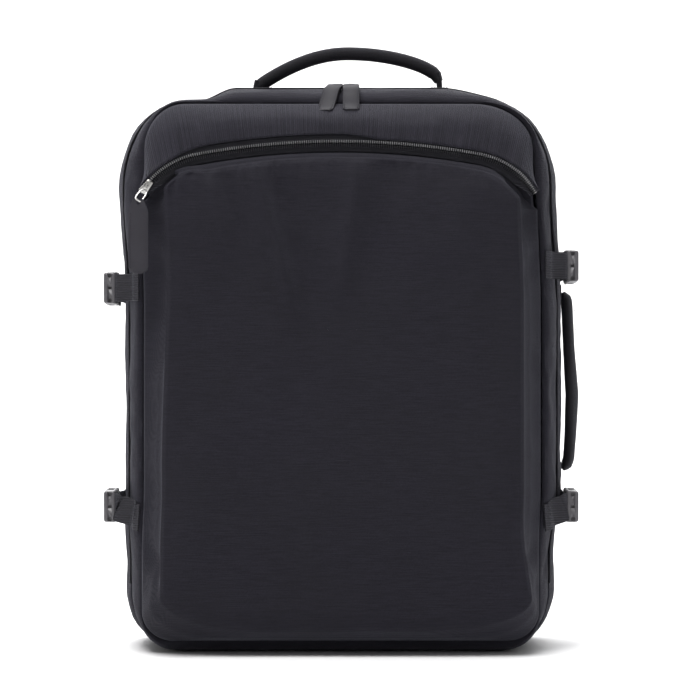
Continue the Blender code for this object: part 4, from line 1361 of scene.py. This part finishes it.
def make_side_handle():
    x0 = SIDE_LOW.x + 0.0018
    bow = SIDE_HIGH.x - 0.0050 - x0
    y = (SIDE_LOW.y + SIDE_HIGH.y) / 2
    low, high = SIDE_LOW.z + 0.0012, SIDE_HIGH.z - 0.0012
    shares = (0, 0.02, 0.06, 0.2, 0.42, 0.68, 0.90, 0.96, 1)
    rises = (0, 0.40, 0.66, 0.84, 1.0, 0.68, 0.50, 0.42, 0)
    path = []
    steps = 56
    for i in range(steps + 1):
        t = i / steps
        path.append(Vector((x0 + bow * float(np.interp(t, shares, rises)), y, low + (high - low) * t)))
    path = resampled(smooth_path(path, 2), 0.0028)

    def section(share):
        full = smooth_step((min(share, 1 - share) + 0.01) / 0.05)
        twist = math.radians(8 + 12 * math.exp(-((share - 0.42) / 0.2) ** 2)) * full
        c, s = math.cos(twist), math.sin(twist)
        return [(a * c - b * s, a * s + b * c) for a, b in oval(0.0020 + 0.0034 * full, 0.0122)]

    data = grid_data("side_handle_grip", turned(path, section), closed=True, ends=True)
    piece = new_piece("side_handle_grip", data, "side_handle", ["handle"], ["side_handle"])
    for name, sign in (("front", -1), ("rear", 1)):
        row = [p + Vector((0.0036 - sign * 0.0028, sign * 0.0086, 0)) for p in path[6:-6]]
        stitches(f"side_handle_seam_{name}", row, (1, 0, 0), "side_handle")
    for name in ("lower", "upper"):
        sewn_patch("side_handle", name, (-0.001, -0.002, -0.003), (0.0004, 0.002, 0.003))


# ---------------------------------------------------------------- back panel and shoulder straps


def inflate(piece, pressure, cap, frames=20, voxel=0.005):
    """Cloth simulation: the closed form swells, no point moving further than cap."""
    remesh = piece.modifiers.new("voxels", "REMESH")
    remesh.mode = "VOXEL"
    remesh.voxel_size = voxel
    apply_modifiers(piece)
    before = np.array([v.co for v in piece.data.vertices])
    cloth = piece.modifiers.new("cloth", "CLOTH")
    cloth.settings.use_pressure = True
    cloth.settings.uniform_pressure_force = pressure
    cloth.settings.effector_weights.gravity = 0.0
    cloth.settings.quality = 5
    cloth.point_cache.frame_start, cloth.point_cache.frame_end = 1, frames
    for step in range(1, frames + 1):
        bpy.context.scene.frame_set(step)
    graph = bpy.context.evaluated_depsgraph_get()
    after = np.array([v.co for v in piece.evaluated_get(graph).data.vertices])
    piece.modifiers.clear()
    bpy.context.scene.frame_set(1)
    move = after - before
    size = np.linalg.norm(move, axis=1, keepdims=True)
    move *= np.minimum(1.0, cap / np.maximum(size, 1e-9))
    piece.data.vertices.foreach_set("co", (before + move).astype(np.float32).ravel())
    step = piece.modifiers.new("smooth", "SUBSURF")
    step.levels = step.render_levels = 1
    apply_modifiers(piece)
    piece.data.shade_smooth()
    return piece


def make_pads():
    for name in ("back_pad_left", "back_pad_right", "lumbar_pad"):
        low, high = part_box(name)
        work = block_mesh(low + Vector((0.004, 0.0016, 0.004)), high - Vector((0.004, 0.0022, 0.004)),
                          (high.y - low.y) * 0.28, 3)
        piece = new_piece(f"{name}_foam", mesh_of(name, work), "shell", ["mesh"], [name])
        inflate(piece, 3.0, 0.0035)
        lower_channels(piece, low, high)
        inset = 0.0062
        x0, x1, z0, z1 = low.x + inset, high.x - inset, low.z + inset, high.z - inset
        edge = [Vector((x, low.y + 0.0035, z)) for x, z in ((x0, z0), (x1, z0), (x1, z1), (x0, z1), (x0, z0))]
        sweep_ring(f"{name}_binding", resampled(edge, 0.004)[:-1], 0.0022)


def lower_channels(piece, low, high):
    """Sewn channels across a pad, pressed in towards its back."""
    height = high.z - low.z
    count = max(2, round(height / 0.055))
    for v in piece.data.vertices:
        if v.co.y < low.y + 0.003:
            continue
        dip = 0.0
        for k in range(1, count):
            line = low.z + height * k / count + 0.004 * math.cos((v.co.x - (low.x + high.x) / 2) * 30)
            dip = max(dip, math.exp(-((v.co.z - line) / 0.0032) ** 2))
        edge = min(v.co.x - low.x, high.x - v.co.x) / 0.012
        v.co.y = min(v.co.y, high.y + 0.002) - 0.0034 * dip * smooth_step(edge)


STRAP_STEPS = 40


def strap_form(t):
    """Distance from the middle, and half width, of a shoulder strap at share t of its height."""
    centre = 0.056 + 0.052 * math.sin(math.pi * min(1.0, t * 1.05)) ** 1.2 + 0.030 * t
    half = 0.033 * (0.92 + 0.12 * math.sin(math.pi * t) - 0.40 * max(0.0, t - 0.55) / 0.45)
    return centre, half


def make_shoulder_straps():
    for name, side in HANDS:
        low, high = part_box(f"shoulder_strap_{name}")
        mid, thick = (low.y + high.y) / 2, high.y - low.y

        def line(first, last, place):
            """Points along the strap: place(centre, half width) gives (x, y)."""
            out = []
            for i in range(first, last):
                t = i / STRAP_STEPS
                x, y = place(*strap_form(t))
                out.append(Vector((side * x, y, high.z + (low.z - high.z) * t)))
            return out

        rows = []
        for i in range(STRAP_STEPS + 1):
            t = i / STRAP_STEPS
            centre, half = strap_form(t)
            z = high.z + (low.z - high.z) * t
            full = thick / 2 * (0.35 + 0.60 * smooth_step(min(t, 1 - t) / 0.08))
            rows.append([Vector((side * (centre + a), mid + b, z)) for a, b in pillow(half - 0.001, full)])
        pad = f"shoulder_strap_{name}_pad"
        piece = new_piece(pad, grid_data(pad, rows, closed=True, ends=True), "shell", ["handle"],
                          [f"shoulder_strap_{name}"])
        inflate(piece, 2.0, 0.0016, voxel=0.0045)
        for edge, sign in (("inner", -1), ("outer", 1)):
            path = line(2, STRAP_STEPS - 1,
                        lambda centre, half: (centre + sign * (half - 0.0022), mid + thick * 0.16))
            tube_piece(f"shoulder_strap_{name}_{edge}_binding", path, 0.0024)
        path = line(3, STRAP_STEPS - 3, lambda centre, half: (centre, mid + thick * 0.44))
        strap(f"shoulder_web_{name}", path[::3], 0.020, 0.0016, "shell", "web_x", (1, 0, 0))
        make_ladder(name, side)


def pillow(half, full, count=20):
    """Cross-section of a padded strap: thick in the middle, thin at its two edges."""
    points = []
    for a in np.linspace(0, math.tau, count + 1)[:-1]:
        c, s = math.cos(a), math.sin(a)
        points.append((half * math.copysign(abs(c) ** 0.8, c), full * math.copysign(abs(s) ** 0.75, s)))
    return points


def tube_piece(name, line, radius):
    """A bound edge on the shell along an open line."""
    profile = oval(radius, radius, 8)
    rows = turned(smooth_path(line, 2), lambda share: profile)
    return new_piece(name, grid_data(name, rows, closed=True, ends=True), "shell", ["web"])


def make_ladder(name, side):
    """The ladder lock, lower webbing and sewn anchor of one shoulder strap."""
    lock = f"ladder_lock_{name}"
    low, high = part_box(lock)
    work = block_mesh(low, high, 0.0012, 2)
    piece = new_piece(f"{lock}_frame", mesh_of(lock, work, angle=35), "shell", ["dark_plastic"],
                      [lock])
    x = (low.x + high.x) / 2
    cut(piece, *[block_mesh((x - 0.0128, low.y - 0.01, high.z - top - 0.0036),
                            (x + 0.0128, high.y + 0.01, high.z - top), 0.0004, 1)
                 for top in (0.0040, 0.0112, 0.0184)])
    web_low, web_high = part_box(f"strap_webbing_{name}")
    y = (web_low.y + web_high.y) / 2
    anchor_x = 0.150
    start = Vector((side * 0.0865, y + 0.001, 0.166))
    end = Vector((side * anchor_x, y, 0.040))
    across = (end - start).normalized().cross(Vector((0, 1, 0)))
    path = [start, start.lerp(end, 0.3) + Vector((0, 0.002, 0)),
            start.lerp(end, 0.7) + Vector((0, 0.001, 0)), end]
    strap(f"strap_web_{name}", path, STRAP_WEB_WIDTH, 0.0014, "shell", "web_x", across,
          replaces=[f"strap_webbing_{name}"])
    tail = [start + Vector((side * out, back, -down)) for out, back, down in
            ((0, 0.0035, 0.006), (0.004, 0.0078, 0.022), (0.012, 0.0072, 0.060), (0.019, 0.0050, 0.094))]
    strap(f"strap_tail_{name}", tail, STRAP_WEB_WIDTH, 0.0014, "shell", "web_x", across)
    anchor = f"strap_anchor_{name}"
    low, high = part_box(anchor)
    corners = [(-0.014, 0.0), (0.014, 0.0), (0.030, -0.048), (-0.016, -0.048)]
    cx, cz = 0.004, -0.024
    work = bmesh.new()
    rows = [[work.verts.new((side * (anchor_x + cx + (px - cx) * scale), depth,
                             high.z + cz + (pz - cz) * scale)) for px, pz in corners]
            for depth, scale in ((low.y, 0.96), (low.y + 0.001, 1.0), (high.y - 0.0015, 1.0),
                                 (high.y - 0.0006, 0.94))]
    skin(work, rows)
    work.faces.new(rows[0])
    work.faces.new(rows[-1][::-1])
    new_piece(f"{anchor}_cloth", mesh_of("anchor", work, angle=30), "shell", ["shell"], [anchor])
    row = [Vector((side * (anchor_x + px), high.y - 0.0004, high.z + pz)) for px, pz in
           ((-0.011, -0.006), (0.011, -0.006), (0.0150, -0.018), (-0.0120, -0.018), (-0.011, -0.006))]
    stitches(f"strap_anchor_stitches_{name}", row, (0, 1, 0), "shell", 0.0028)


# ---------------------------------------------------------------- inside


def make_sleeve():
    low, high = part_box("back_board")
    work = block_mesh(low, high, 0.0012, 2)
    new_piece("back_board_foam", mesh_of("board", work), "shell", ["foam"], ["back_board"])
    low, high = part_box("laptop_sleeve")
    rows = []
    for t in np.linspace(0, 1, 24):
        z = low.z + (high.z - low.z) * t
        row = []
        for u in np.linspace(-1, 1, 40):
            x = u * (high.x - 0.001)
            crown = (1 - abs(u) ** 6) * (0.35 + 0.65 * smooth_step(t / 0.15))
            y = high.y - 0.0015 - (high.y - low.y - 0.0025) * crown
            y += ripple(x, 0.3, z, 0.05, 0.0010, 4.0) * crown
            row.append(Vector((x, y, z)))
        rows.append(row)
    piece = new_piece("laptop_sleeve_cloth", grid_data("laptop_sleeve_cloth", rows), "shell", ["lining"],
                      ["laptop_sleeve"])
    thicken(piece, 0.0016, offset=0.0)
    top = [p + Vector((0, 0, -0.0008)) for p in rows[-1]]
    tube_piece("laptop_sleeve_binding", top[::3], 0.0022)
    low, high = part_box("sleeve_strap")
    path = [(0, low.y, low.z), (0, low.y, high.z - 0.012), (0, low.y + 0.006, high.z),
            (0, low.y + 0.020, high.z + 0.006)]
    strap("sleeve_closing_strap", path, high.x - low.x, 0.0018, "shell", "web_x", (1, 0, 0),
          replaces=["sleeve_strap"])


def make_packing_straps():
    for name, side in HANDS:
        low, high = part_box(f"packing_strap_{name}")
        y, z = low.y + 0.0155, (low.z + high.z) / 2
        path = [(side * x, back, z) for x, back in ((0.1972, 0.0405), (0.186, 0.0440), (0.165, y - 0.001),
                                                    (0.1, y - 0.0006), (0.0215, y - 0.0006))]
        strap(f"packing_web_{name}", path, WEB_WIDTH, 0.0013, "shell", "web", (0, 0, 1),
              replaces=[f"packing_strap_{name}"])
    low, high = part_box("packing_buckle")
    work = block_mesh(low, high, 0.002, 3)
    piece = new_piece("packing_buckle_shell", mesh_of("pack", work, angle=35), "shell", ["dark_plastic"],
                      ["packing_buckle"])
    front = low.y - 0.01
    cut(piece,
        block_mesh((-0.0085, front, high.z - 0.0045), (0.0085, low.y + 0.0052, high.z + 0.004), 0.0004, 1),
        block_mesh((-0.0085, front, low.z - 0.004), (0.0085, low.y + 0.0052, low.z + 0.0045), 0.0004, 1),
        block_mesh((-0.0006, front, low.z - 0.01), (0.0002, low.y + 0.0006, high.z + 0.01), 0.0, 1))


def make_lid_mesh():
    low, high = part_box("lid_mesh_pocket")
    y = (low.y + high.y) / 2
    rows = [[Vector((x, y + ripple(x, 0.7, z, 0.06, 0.0010, 6.0), z))
             for x in np.linspace(low.x, high.x, 36)] for z in np.linspace(low.z, high.z, 30)]
    piece = new_piece("lid_mesh_net", grid_data("lid_mesh_net", rows), "lid", ["mesh"],
                      ["lid_mesh_pocket"])
    thicken(piece, 0.0008, offset=0.0)
    low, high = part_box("lid_mesh_binding")
    line = [Vector((x, (low.y + high.y) / 2, (low.z + high.z) / 2)) for x in np.linspace(low.x, high.x, 12)]
    strap("lid_mesh_edge", line, 0.0060, 0.0026, "lid", "web", (0, 0, 1), replaces=["lid_mesh_binding"])


# ---------------------------------------------------------------- studio


def make_studio():
    floor_material = bpy.data.materials.new("studio_white")
    floor_material.use_nodes = True
    shader = floor_material.node_tree.nodes["Principled BSDF"]
    shader.inputs["Base Color"].default_value = (0.93, 0.93, 0.935, 1.0)
    shader.inputs["Roughness"].default_value = 0.9
    rows = []
    radius, back, floor_z = 1.2, 3.0, -0.0006
    for x in np.linspace(-7, 7, 8):
        row = [Vector((x, -6.0, floor_z)), Vector((x, back, floor_z))]
        for i in range(1, 13):
            angle = math.radians(90 * i / 12)
            row.append(Vector((x, back + radius * math.sin(angle), radius * (1 - math.cos(angle)) + floor_z)))
        row.append(Vector((x, back + radius, 6.0)))
        rows.append(row)
    floor = link(bpy.data.objects.new("studio_floor", grid_data("studio_floor", rows)))
    floor.data.materials.append(floor_material)
    bag, wall = Vector((0, 0, 0.25)), Vector((0, 3.6, 1.2))
    for name, place, size, power, colour, target in (
        ("key", (-0.75, -1.5, 2.5), 0.9, 32.0, (1.0, 0.99, 0.98), bag),
        ("fill", (1.9, -2.2, 1.3), 1.8, 4.0, (0.97, 0.98, 1.0), bag),
        ("top", (-0.2, -0.30, 2.5), 1.6, 60.0, (1.0, 1.0, 1.0), bag),
        ("rear_left", (-0.9, 2.7, 1.8), 1.4, 24.0, (1.0, 1.0, 1.0), bag),
        ("rear_right", (0.9, 2.7, 1.8), 1.4, 24.0, (1.0, 1.0, 1.0), bag),
        ("backdrop", (0.0, 2.0, 3.4), 3.0, 160.0, (1.0, 1.0, 1.0), wall),
    ):
        light = bpy.data.lights.new(name, "AREA")
        light.size = size
        light.energy = power
        light.color = colour
        lamp = link(bpy.data.objects.new(name, light))
        lamp.location = place
        lamp.rotation_euler = (target - Vector(place)).to_track_quat("-Z", "Y").to_euler()
    world = bpy.data.worlds.new("studio_world")
    world.use_nodes = True
    background = world.node_tree.nodes["Background"]
    background.inputs["Color"].default_value = (1.0, 1.0, 1.0, 1.0)
    background.inputs["Strength"].default_value = 0.24
    bpy.context.scene.world = world
    bpy.context.scene.view_settings.view_transform = "Standard"


def make_camera():
    """At the height of the bag's middle, looking level at its front."""
    camera = bpy.data.cameras.new("camera")
    distance, width = 2.6, 0.630
    camera.sensor_width = 36.0
    camera.lens = camera.sensor_width * distance / width
    made = link(bpy.data.objects.new("camera", camera))
    made.location = (0.0080, SEAM_Y - distance, 0.2727)
    made.rotation_euler = (math.pi / 2, 0, 0)
    bpy.context.scene.camera = made


M = make_materials()
make_camera()
make_studio()
make_rear_shell()
make_lid_gusset()
make_front_panel()
make_pocket_face()
make_top_band()
make_pocket_zip()
make_main_zip()
make_hinge_fabric()
make_main_sliders()
make_pocket_slider()
for place_name in WHERES:
    make_buckle(place_name)
make_top_handle()
make_side_handle()
make_pads()
make_shoulder_straps()
make_sleeve()
make_packing_straps()
make_lid_mesh()
